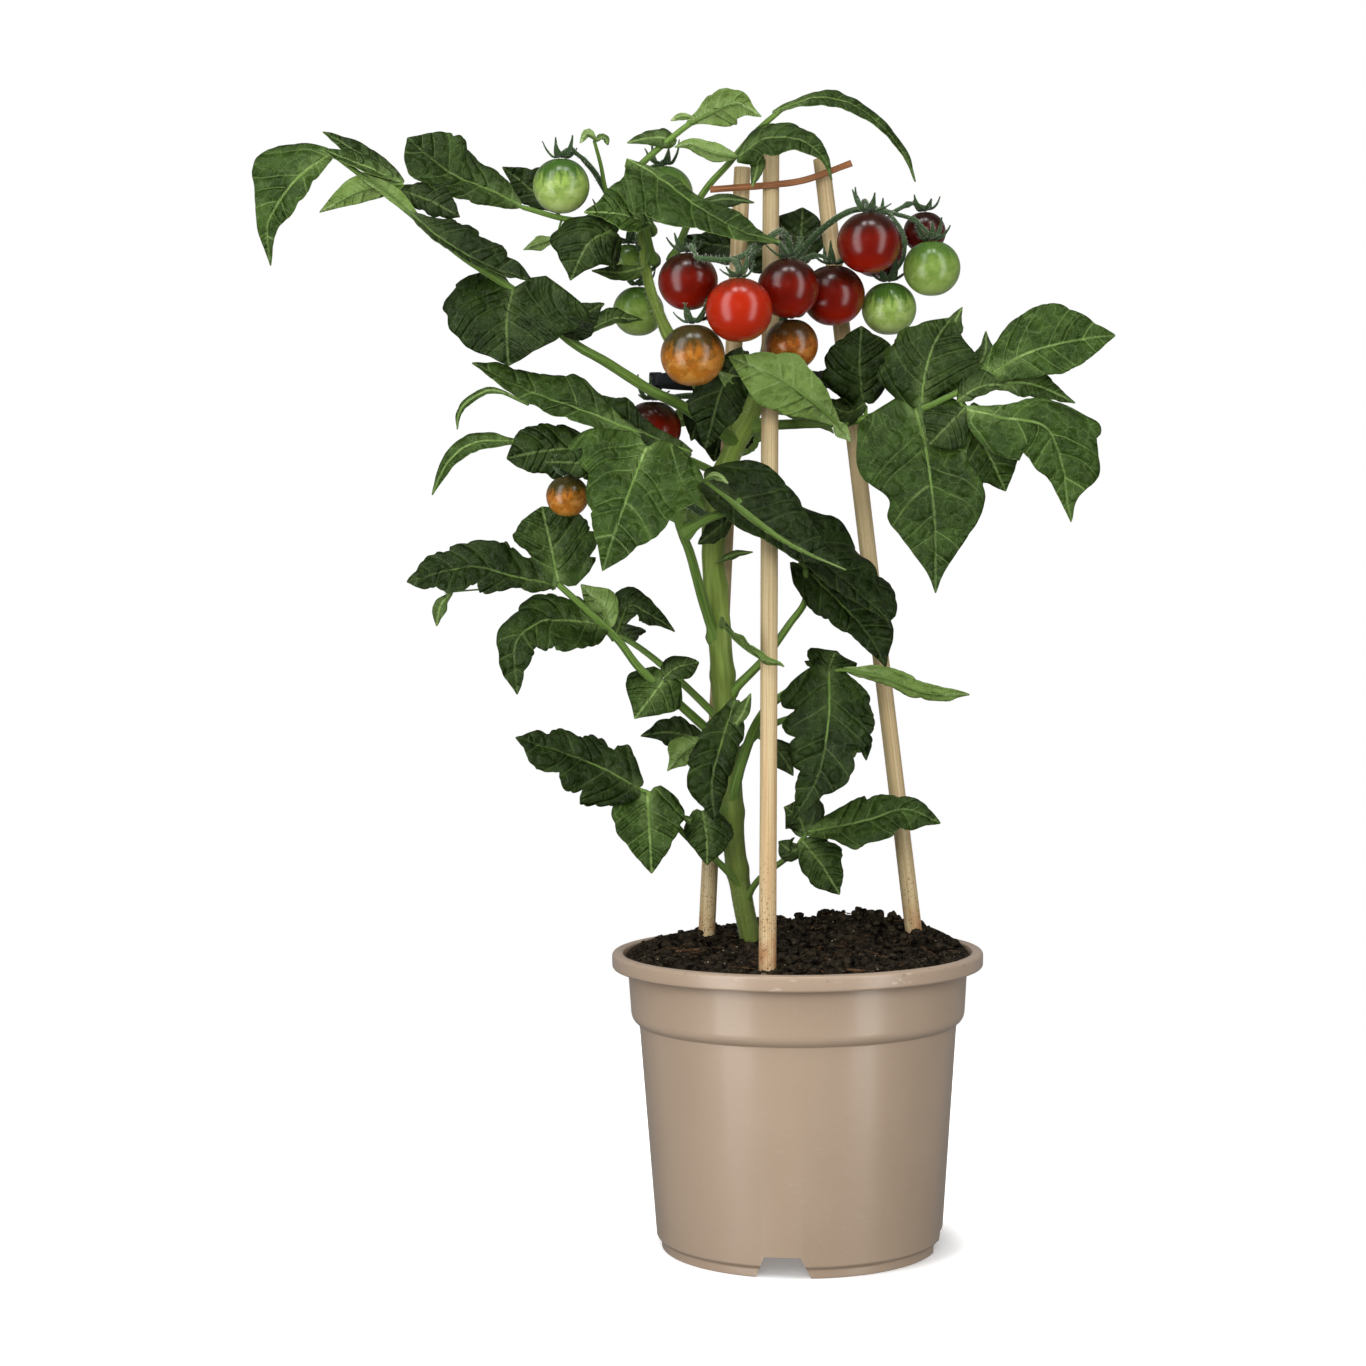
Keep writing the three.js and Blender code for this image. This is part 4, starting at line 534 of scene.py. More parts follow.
class Shader:
    """One material. Each method adds a node and gives its output."""

    def __init__(self, name, **sockets):
        self.material = bpy.data.materials.new(name)
        self.material.use_nodes = True
        self.tree = self.material.node_tree
        self.surface = self.tree.nodes["Principled BSDF"]
        self.coordinates = self.tree.nodes.new("ShaderNodeTexCoord")
        for socket, value in sockets.items():
            self.feed(self.surface.inputs[socket.replace("_", " ")], value)

    def feed(self, socket, value):
        if isinstance(value, bpy.types.NodeSocket):
            self.tree.links.new(value, socket)
        else:
            socket.default_value = value

    def node(self, kind, inputs, output=0, **settings):
        made = self.tree.nodes.new("ShaderNode" + kind)
        for setting, value in settings.items():
            setattr(made, setting, value)
        for key, value in inputs.items():
            if value is not None:
                self.feed(made.inputs[key], value)
        return made.outputs[output]

    def place(self):
        return self.coordinates.outputs["Object"]

    def box(self):
        return self.coordinates.outputs["Generated"]

    def pattern(self):
        return self.node("UVMap", {}, uv_map="pattern")

    def tint(self):
        return self.node("Attribute", {}, "Fac", attribute_name="tint")

    def split(self, vector):
        return [self.node("SeparateXYZ", {0: vector}, axis) for axis in range(3)]

    def vector(self, x, y, z):
        return self.node("CombineXYZ", {0: x, 1: y, 2: z})

    def math(self, operation, a, b=None, c=None):
        return self.node("Math", {0: a, 1: b, 2: c}, operation=operation)

    def blend(self, value, low, high, start=0.0, end=1.0):
        """start where value is low, end where it is high, smooth between."""
        inputs = {0: value, 1: low, 2: high, 3: start, 4: end}
        return self.node("MapRange", inputs, interpolation_type="SMOOTHSTEP")

    def mix(self, share, first, second):
        return self.node("Mix", {0: share, 6: first, 7: second}, 2, data_type="RGBA")

    def stretch(self, vector, scale):
        return self.node("VectorMath", {0: vector, 1: scale}, operation="MULTIPLY")

    def noise(self, vector, scale, detail=3.0, w=0.0):
        inputs = {"Vector": vector, "W": w, "Scale": scale, "Detail": detail}
        return self.node("TexNoise", inputs, "Fac", noise_dimensions="4D")

    def cells(self, vector, scale, feature="DISTANCE_TO_EDGE"):
        return self.node("TexVoronoi", {"Vector": vector, "Scale": scale}, "Distance", feature=feature)

    def colour(self, value):
        self.feed(self.surface.inputs["Base Color"], value)

    def roughness(self, value):
        self.feed(self.surface.inputs["Roughness"], value)

    def relief(self, height, depth):
        """A bump of that depth in millimetres."""
        bump = self.node("Bump", {"Height": height, "Distance": depth * MM, "Strength": 1.0})
        self.feed(self.surface.inputs["Normal"], bump)


def leaf_material(name, dark, light, rib, vein_depth):
    """A quilted blade: a pale midrib and side veins, a faint net between them, and puffed cells."""
    s = Shader(name, Specular_IOR_Level=0.2)
    pattern, tint = s.pattern(), s.tint()
    across, along, _ = s.split(pattern)
    across = s.math("MULTIPLY", s.math("ABSOLUTE", across), 100.0)
    own = s.math("MULTIPLY", tint, 31.0)
    patches = s.noise(pattern, 9.0, 2.0, own)
    grain = s.noise(pattern, 70.0, 2.0, own)
    phase = s.node("Attribute", {}, "Fac", attribute_name="veins")
    away = s.math("PINGPONG", s.math("MULTIPLY_ADD", grain, 0.04, phase), 0.5)
    vein = s.math("MULTIPLY", s.blend(away, 0.0, 0.034, 1.0, 0.0), s.blend(across, 3.0, 30.0, 0.36, 0.13))
    vein = s.math("MULTIPLY", vein, s.blend(s.noise(pattern, 12.0, 2.0, own), 0.3, 0.6, 0.35, 1.0))
    midrib = s.blend(across, 0.3, 0.8, 1.0, 0.0)
    shift = s.stretch(s.node("TexNoise", {"Vector": pattern, "Scale": 30.0}, "Color"), (0.03, 0.03, 0.0))
    bent = s.node("VectorMath", {0: pattern, 1: shift}, operation="ADD")
    mesh = s.blend(s.cells(bent, 20.0), 0.0, 0.05, 0.14, 0.0)
    fine = s.blend(s.cells(bent, 60.0), 0.0, 0.3)
    puffed = s.math("MULTIPLY", s.blend(away, 0.0, 0.3), s.blend(s.cells(bent, 14.0), 0.0, 0.35, 0.35, 1.0))
    colour = s.mix(s.blend(patches, 0.3, 0.72), dark, light)
    colour = s.mix(s.blend(grain, 0.45, 0.75, 0.0, 0.08), colour, light)
    colour = s.mix(mesh, colour, rib)
    colour = s.mix(s.blend(puffed, 0.2, 1.0, 0.0, 0.4), colour, dark)
    halo = s.math("MULTIPLY", s.blend(across, 0.5, 7.0, 0.3, 0.0), s.blend(along, 0.0, 0.35, 1.0, 0.0))
    colour = s.mix(halo, colour, rib)
    colour = s.mix(vein, colour, rib)
    colour = s.mix(s.math("MULTIPLY", midrib, s.blend(along, 0.0, 0.6, 0.85, 0.25)), colour, rib)
    # painted light and shade: each leaflet's tone, carried in tint, makes lit leaflets brighter and shaded
    # ones darker, besides some real difference in their green
    s.colour(s.node("HueSaturation", {"Value": s.blend(tint, 0.0, 1.0, 1.28, 0.44), "Color": colour}))
    s.roughness(s.blend(grain, 0.25, 0.8, 0.38, 0.55))
    height = s.math("MULTIPLY_ADD", fine, 0.07, s.math("MULTIPLY", grain, 0.08))
    height = s.math("MULTIPLY_ADD", puffed, vein_depth, height)
    s.relief(height, 2.0)
    return s.material


def stalk_material(name, dark, light, fuzz, dull=70):
    """A hairy green stalk with faint lengthwise streaks, duller for that many millimetres above the pot."""
    s = Shader(name, Sheen_Weight=fuzz, Sheen_Roughness=0.45, Sheen_Tint=paint("E6EEDC"),
               Specular_IOR_Level=0.35)
    pattern = s.pattern()
    streaks = s.noise(s.stretch(pattern, (9.0, 2.0, 1.0)), 2.0, 3.0, s.tint())
    spots = s.noise(s.place(), 900.0, 2.0)
    colour = s.mix(s.blend(streaks, 0.25, 0.75), dark, light)
    _, _, z = s.split(s.place())
    foot = s.blend(z, RIM_TOP * MM, (RIM_TOP + dull) * MM, 0.6, 0.0)
    s.colour(s.mix(foot, colour, paint("54602D")))
    s.roughness(s.blend(spots, 0.3, 0.7, 0.45, 0.7))
    s.relief(s.math("ADD", streaks, s.math("MULTIPLY", spots, 0.4)), 0.35)
    return s.material


def fruit_material(name, body, shoulder, stripes, top_from, foot=None, mottle=0.0, pale=None):
    """Glossy tomato skin, darker or greener round the calyx, with streaks that run down from it."""
    s = Shader(name, Coat_Weight=0.58, Coat_Roughness=0.24, Subsurface_Weight=0.12,
               Subsurface_Radius=(1.0, 0.35, 0.15), Subsurface_Scale=0.003, Specular_IOR_Level=0.25)
    box = s.box()
    x, y, z = s.split(box)
    x, y = s.math("SUBTRACT", x, 0.5), s.math("SUBTRACT", y, 0.5)
    spread = s.math("MAXIMUM", s.math("SQRT", s.math("MULTIPLY_ADD", x, x, s.math("MULTIPLY", y, y))), 0.02)
    x, y = s.math("DIVIDE", x, spread), s.math("DIVIDE", y, spread)
    streak = s.noise(s.vector(x, y, s.math("MULTIPLY", z, 0.35)), 5.5, 3.0)
    clouds = s.noise(box, 3.0, 2.0)
    height = s.math("MULTIPLY_ADD", s.math("SUBTRACT", streak, 0.5), stripes, z)
    height = s.math("MULTIPLY_ADD", s.math("SUBTRACT", clouds, 0.5), 0.3, height)
    low = s.mix(s.blend(z, 0.0, 0.35), foot or body, body)
    colour = s.mix(s.blend(height, top_from, top_from + 0.4), low, shoulder)
    if stripes > 0.5:
        bands = s.blend(streak, 0.5, 0.62, 0.0, 0.5)
        bands = s.math("MULTIPLY", bands, s.blend(z, 0.25, 0.8))
        colour = s.mix(bands, colour, shoulder)
    if mottle:
        patches = s.blend(s.noise(box, 8.0, 3.0, 2.0), 0.47, 0.6, 0.0, mottle)
        colour = s.mix(s.math("MULTIPLY", patches, s.blend(z, 0.2, 0.8, 1.0, 0.0)), colour, pale)
        blots = s.blend(s.noise(box, 7.0, 3.0, 4.0), 0.5, 0.62, 0.0, mottle)
        colour = s.mix(s.math("MULTIPLY", blots, s.blend(z, 0.1, 0.6, 0.3, 1.0)), colour, shoulder)
    s.colour(colour)
    s.roughness(s.blend(clouds, 0.3, 0.7, 0.2, 0.32))
    s.relief(s.noise(box, 60.0, 2.0), 0.03)
    return s.material


def pot_material():
    """Semi-gloss moulded plastic with rubbed edges, and dust and soil round the rim."""
    s = Shader("pot_plastic", Specular_IOR_Level=0.5, Coat_Weight=0.3, Coat_Roughness=0.16)
    place = s.place()
    _, _, z = s.split(place)
    cloud = s.noise(place, 9.0, 4.0)
    grain = s.noise(place, 420.0, 3.0)
    flow = s.noise(s.stretch(place, (60.0, 60.0, 4.0)), 1.0, 4.0)
    colour = s.mix(s.blend(cloud, 0.35, 0.7), paint("A5907B"), paint("AE9984"))
    colour = s.mix(s.blend(grain, 0.45, 0.8, 0.0, 0.25), colour, paint("B09C88"))
    top = s.blend(z, (RIM_TOP - 11) * MM, (RIM_TOP - 5) * MM)
    colour = s.mix(s.math("MULTIPLY", top, 0.3), colour, paint("AC9684"))
    scuffs = s.blend(s.noise(s.stretch(place, (1.0, 1.0, 3.0)), 160.0, 4.0), 0.6, 0.68)
    scuffs = s.math("MULTIPLY", scuffs, s.blend(s.noise(place, 22.0, 2.0), 0.45, 0.62))
    colour = s.mix(s.math("MULTIPLY", scuffs, s.blend(top, 0.0, 1.0, 0.06, 0.5)), colour, paint("D2C3B3"))
    dirt = s.blend(s.noise(place, 230.0, 5.0, 3.0), 0.63, 0.7)
    dirt = s.math("MULTIPLY", dirt, s.blend(z, (RIM_TOP - 4) * MM, (RIM_TOP - 0.5) * MM, 0.03, 0.75))
    s.colour(s.mix(dirt, colour, paint("4A3A2C")))
    s.roughness(s.blend(s.math("ADD", flow, s.math("MULTIPLY", scuffs, 0.5)), 0.3, 1.0, 0.3, 0.55))
    height = s.math("MULTIPLY_ADD", flow, 0.5, s.math("MULTIPLY", grain, 0.25))
    s.relief(s.math("ADD", height, s.math("MULTIPLY", scuffs, -0.4)), 0.07)
    return s.material


def soil_material(name, dark, light):
    s = Shader(name, Specular_IOR_Level=0.1)
    place = s.place()
    lumps = s.noise(place, 260.0, 5.0)
    fine = s.noise(place, 1500.0, 3.0)
    colour = s.mix(s.blend(lumps, 0.35, 0.7), dark, light)
    crumbs = s.blend(s.cells(place, 900.0, "F1"), 0.1, 0.22, 1.0, 0.0)
    crumbs = s.math("MULTIPLY", crumbs, s.blend(s.noise(place, 500.0, 1.0, 2.0), 0.5, 0.58))
    s.colour(s.mix(s.math("MULTIPLY", crumbs, 0.8), colour, paint("8C7A62")))
    s.roughness(s.blend(fine, 0.3, 0.7, 0.75, 1.0))
    s.relief(s.math("ADD", lumps, s.math("MULTIPLY", fine, 0.6)), 1.2)
    return s.material


def cane_material():
    """Dry straw-coloured cane, streaked lengthwise, reddish here and there, and dirty near the soil."""
    s = Shader("cane_straw", Specular_IOR_Level=0.4, Coat_Weight=0.12, Coat_Roughness=0.3)
    pattern, place = s.pattern(), s.place()
    _, _, z = s.split(place)
    own = s.math("MULTIPLY", s.tint(), 17.0)
    fibre = s.noise(s.stretch(pattern, (26.0, 1.5, 1.0)), 1.0, 4.0, own)
    broad = s.noise(s.stretch(pattern, (3.0, 0.5, 1.0)), 1.0, 2.0, own)
    colour = s.mix(s.blend(fibre, 0.3, 0.7), paint("AC956A"), paint("CEBB92"))
    colour = s.mix(s.blend(broad, 0.52, 0.74, 0.0, 0.36), colour, paint("B98556"))
    specks = s.blend(s.noise(place, 900.0, 3.0), 0.58, 0.64)
    low = s.blend(z, (RIM_TOP + 3) * MM, (RIM_TOP + 75) * MM, 0.9, 0.12)
    stain = s.blend(s.noise(place, 90.0, 3.0), 0.35, 0.65, 0.0, 0.7)
    stain = s.math("MULTIPLY", stain, s.blend(z, (RIM_TOP + 2) * MM, (RIM_TOP + 28) * MM, 1.0, 0.0))
    colour = s.mix(stain, colour, paint("A0602F"))
    colour = s.mix(s.math("MULTIPLY", specks, low), colour, paint("5A4028"))
    s.colour(colour)
    s.roughness(s.blend(fibre, 0.2, 0.8, 0.42, 0.62))
    s.relief(fibre, 0.14)
    return s.material


def reed_material():
    s = Shader("reed_bark", Specular_IOR_Level=0.3)
    pattern = s.pattern()
    fibre = s.noise(s.stretch(pattern, (16.0, 5.0, 1.0)), 1.0, 4.0)
    blotch = s.noise(s.stretch(pattern, (2.0, 12.0, 1.0)), 1.0, 2.0, 4.0)
    colour = s.mix(s.blend(fibre, 0.3, 0.7), paint("6A4026"), paint("A8734C"))
    s.colour(s.mix(s.blend(blotch, 0.6, 0.72, 0.0, 0.6), colour, paint("35201A")))
    s.roughness(s.blend(fibre, 0.3, 0.7, 0.55, 0.8))
    s.relief(fibre, 0.25)
    return s.material


def strap_material():
    s = Shader("hoop_plastic", Specular_IOR_Level=0.5)
    grain = s.noise(s.place(), 800.0, 3.0)
    s.colour(s.mix(s.blend(grain, 0.35, 0.7), paint("0E1014"), paint("20242B")))
    s.roughness(s.blend(grain, 0.3, 0.7, 0.34, 0.55))
    s.relief(grain, 0.05)
    return s.material


LEAF_TOP = leaf_material("leaf_upper", paint("20320A"), paint("364C1A"), paint("86A15C"), 1.0)
LEAF_UNDER = leaf_material("leaf_under", paint("627B37"), paint("77924A"), paint("A6BC80"), -0.7)
STALK_GREEN = stalk_material("stalk_green", paint("44621F"), paint("718F3E"), 0.12)
STEM_GREEN = stalk_material("stem_green", paint("63782D"), paint("8CA24A"), 0.12, 270)
TRUSS_GREEN = stalk_material("truss_green", paint("263C1F"), paint("425D32"), 0.3)
HAIR = Shader("plant_hair", Base_Color=paint("E4E8D8"), Roughness=0.5).material
POT_PLASTIC = pot_material()
SOIL = soil_material("soil_dark", paint("060403"), paint("3C3428"))
FIBRE = soil_material("soil_fibre", paint("33241A"), paint("6E5238"))
PALE_GRAIN = soil_material("soil_pale_grain", paint("6E6454"), paint("A09580"))
CANE_STRAW = cane_material()
REED_BARK = reed_material()
HOOP_PLASTIC = strap_material()
SKINS = {
    "red": fruit_material("skin_red", paint("A32206"), paint("6E1E06"), 0.5, 0.64),
    "dark_red": fruit_material(
        "skin_dark_red", paint("680E02"), paint("2E0E05"), 0.3, 0.42, paint("941402")),
    "brown_red": fruit_material(
        "skin_brown_red", paint("4A1009"), paint("260D08"), 0.25, 0.4, paint("6A0E06")),
    "orange": fruit_material("skin_orange", paint("A0601A"), paint("3A3213"), 0.6, 0.36,
                             paint("B4701F"), 0.5, paint("CB9446")),
    "brown_orange": fruit_material("skin_brown_orange", paint("8C4A12"), paint("3E2A10"), 0.5, 0.36,
                                   paint("A5601C"), 0.5, paint("BE8238")),
    "green": fruit_material("skin_green", paint("728C3F"), paint("4A6A28"), 0.5, 0.45,
                            paint("8FA855"), 0.35, paint("A0B668")),
    "striped": fruit_material("skin_striped", paint("88A24D"), paint("3B5C1E"), 0.9, 0.42,
                              paint("A8BD6C"), 0.4, paint("BCCD86")),
    "dark_green": fruit_material("skin_dark_green", paint("3F5A2B"), paint("2E4720"), 0.3, 0.5,
                                 None, 0.2, paint("66824A")),
}

# ---- shape tools ----
def smooth_path(points, step):
    """Points about step apart on a Catmull-Rom curve through the given ones, and its directions."""
    given = np.array(points, float)
    padded = np.vstack([2 * given[0] - given[1], given, 2 * given[-1] - given[-2]])
    t = np.linspace(0, 1, 9)[:-1, None]
    dense = []
    for a, b, c, d in zip(padded, padded[1:], padded[2:], padded[3:]):
        dense.append(0.5 * (2 * b + (c - a) * t + (2 * a - 5 * b + 4 * c - d) * t**2
                            + (3 * b - a - 3 * c + d) * t**3))
    dense = np.vstack(dense + [given[-1:]])
    lengths = np.concatenate([[0], np.cumsum(np.linalg.norm(np.diff(dense, axis=0), axis=1))])
    places = np.linspace(0, lengths[-1], max(3, round(lengths[-1] / step) + 1))
    path = np.stack([np.interp(places, lengths, axis) for axis in dense.T], 1)
    return path, unit(np.gradient(path, axis=0)), places


def unit(vectors):
    return vectors / np.maximum(np.linalg.norm(vectors, axis=-1, keepdims=True), 1e-9)


def turns(sides):
    """The angles of equal steps round a full circle."""
    return np.linspace(0, 2 * math.pi, sides, endpoint=False)


def ring_frames(tangents):
    """Two directions across a path that don't twist along it."""
    across = unit(np.cross(tangents[0], (0.3, 0.1, 1) if abs(tangents[0][2]) < 0.9 else (1, 0.2, 0)))
    result = []
    for tangent in tangents:
        across = unit(across - tangent * across.dot(tangent))
        result.append(across)
    result = np.array(result)
    return result, np.cross(tangents, result)


def grid_faces(rows, columns, closed=False):
    """Quads of a grid of points stored row by row; closed joins the last column to the first."""
    index = np.arange(rows * columns).reshape(rows, columns)
    if closed:
        index = np.hstack([index, index[:, :1]])
    corners = [index[:-1, :-1], index[:-1, 1:], index[1:, 1:], index[1:, :-1]]
    return np.stack(corners, -1).reshape(-1, 4).tolist()


def closed_faces(rows, sides, capped=True):
    """Outward faces of rings of points stored ring by ring, with a face over each end."""
    faces = [face[::-1] for face in grid_faces(rows, sides, closed=True)]
    if capped:
        faces += [list(range(sides)), [(rows - 1) * sides + i for i in range(sides)][::-1]]
    return faces


def rings_round(path, across, over, radius, angle):
    """A ring of points round each point of a path."""
    spokes = across[:, None] * np.cos(angle)[None, :, None] + over[:, None] * np.sin(angle)[None, :, None]
    return path[:, None] + spokes * radius[:, None, None]


def ripple(points, scale, seed):
    """Smooth random numbers from -1 to 1 at points, with bumps of about scale."""
    return np.array([noise.noise(Vector(point) / scale + Vector((seed, -seed, 0))) for point in points])


def add_object(name, data):
    thing = bpy.data.objects.new(name, data)
    bpy.context.collection.objects.link(thing)
    return thing


class Form:
    """Surfaces gathered into one mesh. Each has a material slot, pattern coordinates and a tint."""

    def __init__(self):
        self.points, self.faces, self.slots, self.patterns = [], [], [], []
        self.tints, self.veins = [], []
        self.count = 0

    def add(self, points, faces, slot=0, pattern=None, tint=0.5, veins=0.5):
        slots = slot if isinstance(slot, list) else [slot] * len(faces)
        self.faces += [[corner + self.count for corner in face] for face in faces]
        self.slots += slots
        self.points.append(np.asarray(points, float))
        self.patterns.append(np.zeros((len(points), 2)) if pattern is None else pattern)
        self.tints.append(np.full(len(points), tint, float))
        self.veins.append(np.broadcast_to(veins, len(points)))
        self.count += len(points)

    def piece(self, name, materials, slot, *nodes, sharp=None):
        """The finished object, which stands for the CAD nodes."""
        mesh = bpy.data.meshes.new(name)
        points = (np.vstack(self.points) + AXIS) * MM
        mesh.from_pydata(points.tolist(), [], self.faces)
        mesh.polygons.foreach_set("material_index", self.slots)
        corners = np.empty(len(mesh.loops), int)
        mesh.loops.foreach_get("vertex_index", corners)
        layer = mesh.uv_layers.new(name="pattern")
        layer.uv.foreach_set("vector", np.vstack(self.patterns)[corners].astype(np.float32).ravel())
        for key, values in (("tint", self.tints), ("veins", self.veins)):
            layer = mesh.attributes.new(key, "FLOAT", "POINT")
            layer.data.foreach_set("value", np.concatenate(values).astype(np.float32))
        for material in materials:
            mesh.materials.append(material)
        mesh.shade_smooth()
        if sharp:
            mesh.set_sharp_from_angle(angle=math.radians(sharp))
        mesh.validate()
        thing = add_object(name, mesh)
        return dress(thing, slot, *nodes)


def dress(thing, slot, *nodes):
    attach(thing, "root")
    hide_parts(*nodes)
    return thing


def tube(form, points, radii, sides=10, step=3, slot=0, tint=0.5, swell=(), rough=0.03, seed=0.0):
    """A tapering round stalk with rounded ends. swell holds (share of length, extra radius, width)."""
    path, tangents, places = smooth_path(points, step)
    across, over = ring_frames(tangents)
    share = places / places[-1]
    radius = np.interp(share, np.linspace(0, 1, len(radii)), radii)
    for middle, extra, width in swell:
        radius = radius + extra * np.exp(-(((places - middle * places[-1]) / width) ** 2))
    # a short ring at each end rounds it off
    first = [path[0] - tangents[0] * radius[0] * 0.4]
    last = [path[-1] + tangents[-1] * radius[-1] * 0.4]
    path = np.vstack([first, path, last])
    across = np.vstack([across[:1], across, across[-1:]])
    over = np.vstack([over[:1], over, over[-1:]])
    radius = np.concatenate([[radius[0] * 0.6], radius, [radius[-1] * 0.6]])
    angle = turns(sides)
    rings = rings_round(path, across, over, radius, angle).reshape(-1, 3)
    if rough:
        centre = np.repeat(path, sides, 0)
        spread = 1 + rough * ripple(rings, max(radii) * 1.6, seed)
        rings = centre + (rings - centre) * spread[:, None]
    along = np.concatenate([places[:1], places, places[-1:]])
    pattern = np.stack([np.tile(angle / (2 * math.pi), len(path)), np.repeat(along / 100, sides)], 1)
    form.add(rings, closed_faces(len(path), sides), slot, pattern, tint)
    return path


# ---- leaves ----


def outline(widths, share):
    """Half width along a blade from its values at equal steps, smoothed, and nearly 0 at the ends."""
    stations = np.linspace(0, 1, len(widths) + 2)
    values = np.array([0.3, *widths, 0.3], float)
    path, _, _ = smooth_path(np.stack([stations * 100, values, values * 0], 1), 1)
    return np.maximum(np.interp(share * 100, path[:, 0], path[:, 1]), 0.3)


def teeth(places, length, pitch, chance):
    """0 to 1 along an edge: uneven rounded teeth that lean towards the tip, with notches between."""
    edges = [-chance.random() * pitch]
    while edges[-1] < length:
        edges.append(edges[-1] + pitch * chance.uniform(0.7, 1.35))
    index = np.searchsorted(edges, places, side="right") - 1
    index = np.clip(index, 0, len(edges) - 2)
    edges = np.array(edges)
    share = (places - edges[index]) / (edges[index + 1] - edges[index])
    height = np.array([chance.uniform(0.3, 1) for _ in edges])
    return 1 - (1 - (1 - np.abs(2 * share**1.5 - 1) ** 2.4)) * height[index]


def blade(form, leaflet, chance, fold=0.16, thickness=BLADE_THICKNESS, slots=(0, 1)):
    """A crinkled leaf blade with an upper and a lower skin. Returns its midrib and its upward ways."""
    path, tangents, places = smooth_path(leaflet.rib, ROW_STEP)
    length = places[-1]
    share = places / length
    seed = chance.uniform(0, 40)
    face = np.array(leaflet.face, float)
    across = unit(np.cross(tangents, face))
    up = np.cross(across, tangents)
    widest = max(max(leaflet.left), max(leaflet.right))
    half = max(3, min(14, round(widest / COLUMN_STEP)))
    side = np.linspace(-1, 1, 2 * half + 1)
    size = np.abs(side)

    edge = []
    forward = []
    for widths in (leaflet.left, leaflet.right):
        width = outline(widths, share)
        fine = teeth(places, length, max(FINE_TEETH["least"], length / FINE_TEETH["count"]), chance)
        coarse = teeth(places, length, max(COARSE_TEETH["least"], length / COARSE_TEETH["count"]), chance)
        cut = leaflet.lobes * (np.minimum(0.12 * width, 1.8) * (1 - fine) + 0.42 * width * (1 - coarse))
        cut *= np.clip(share / 0.12, 0, 1) * np.clip((1 - share) / 0.06, 0, 1)
        edge.append(width * (1 + 0.07 * leaflet.lobes) - cut)
        back = leaflet.heart * widest * np.exp(-((share / 0.16) ** 2)) * np.clip(share * length / 2, 0, 1)
        forward.append(leaflet.lobes * 0.12 * width * coarse - back)
    edge = np.where(side[None] < 0, edge[0][:, None], edge[1][:, None])
    forward = np.where(side[None] < 0, forward[0][:, None], forward[1][:, None])

    x = side[None] * edge
    y = np.repeat(places[:, None], len(side), 1)
    flat = np.stack([x.ravel(), y.ravel(), np.zeros(x.size)], 1)
    wrinkle = ripple(flat, 7, seed).reshape(x.shape)
    wave = ripple(flat, 22, seed + 9).reshape(x.shape)
    spacing = min(max(length * VEINS["share"], VEINS["least"]), VEINS["most"])
    veins = (y - VEIN_SLANT * np.abs(x) - VEIN_CURVE * x**2) / spacing
    phase = veins + 0.35 * wave * size[None] + (x > 0) * 0.4
    phase = phase + 0.28 * np.sin(2.3 * phase + seed + (x > 0) * 1.7)
    if widest < 7:
        phase = np.full_like(x, 0.5)
    quilt = np.abs(np.sin(math.pi * phase)) * np.clip(np.abs(x) / 3, 0, 1) * (1 - size**4)[None]
    crinkle = ripple(flat, 3.6, seed + 5).reshape(x.shape)
    curl = chance.uniform(-0.02, 0.28)
    margin = chance.uniform(0.14, 0.3)
    height = (np.abs(x) * fold - curl * np.abs(x) * size[None] ** 2 + 0.5 * quilt
              + margin * np.abs(x) * size[None] * wave * 1.6 + 0.75 * wrinkle + 0.3 * crinkle
              - 0.5 * np.exp(-((x / 0.9) ** 2)))
    height *= np.clip(share * 8, 0.15, 1)[:, None]

    def skin(offset):
        points = (path[:, None] + across[:, None] * x[..., None]
                  + tangents[:, None] * (forward * size[None] ** 2)[..., None]
                  + up[:, None] * (height + offset)[..., None])
        return points.reshape(-1, 3)

    upper, lower = skin(thickness / 2), skin(-thickness / 2)
    rows, columns = x.shape
    top = grid_faces(rows, columns)
    count = rows * columns
    bottom = [[corner + count for corner in face[::-1]] for face in top]
    border = ([i for i in range(columns)]
              + [(row + 1) * columns - 1 for row in range(1, rows)]
              + [rows * columns - 2 - i for i in range(columns - 1)]
              + [row * columns for row in range(rows - 2, 0, -1)])
    rim = [[b, a, a + count, b + count] for a, b in zip(border, border[1:] + border[:1])]
    pattern = np.stack([x.ravel() / 100, y.ravel() / 100], 1)
    # the tint carries the leaflet's tone, which is partly its own green and mostly painted light and shade
    form.add(np.vstack([upper, lower]), top + bottom + rim,
             [slots[0]] * len(top) + [slots[1]] * (len(bottom) + len(rim)),
             np.vstack([pattern, pattern]), leaflet.tone, np.tile(phase.ravel(), 2))
    return path, up


def nearest(path, point):
    return path[np.argmin(np.linalg.norm(path - np.array(point, float), axis=1))]


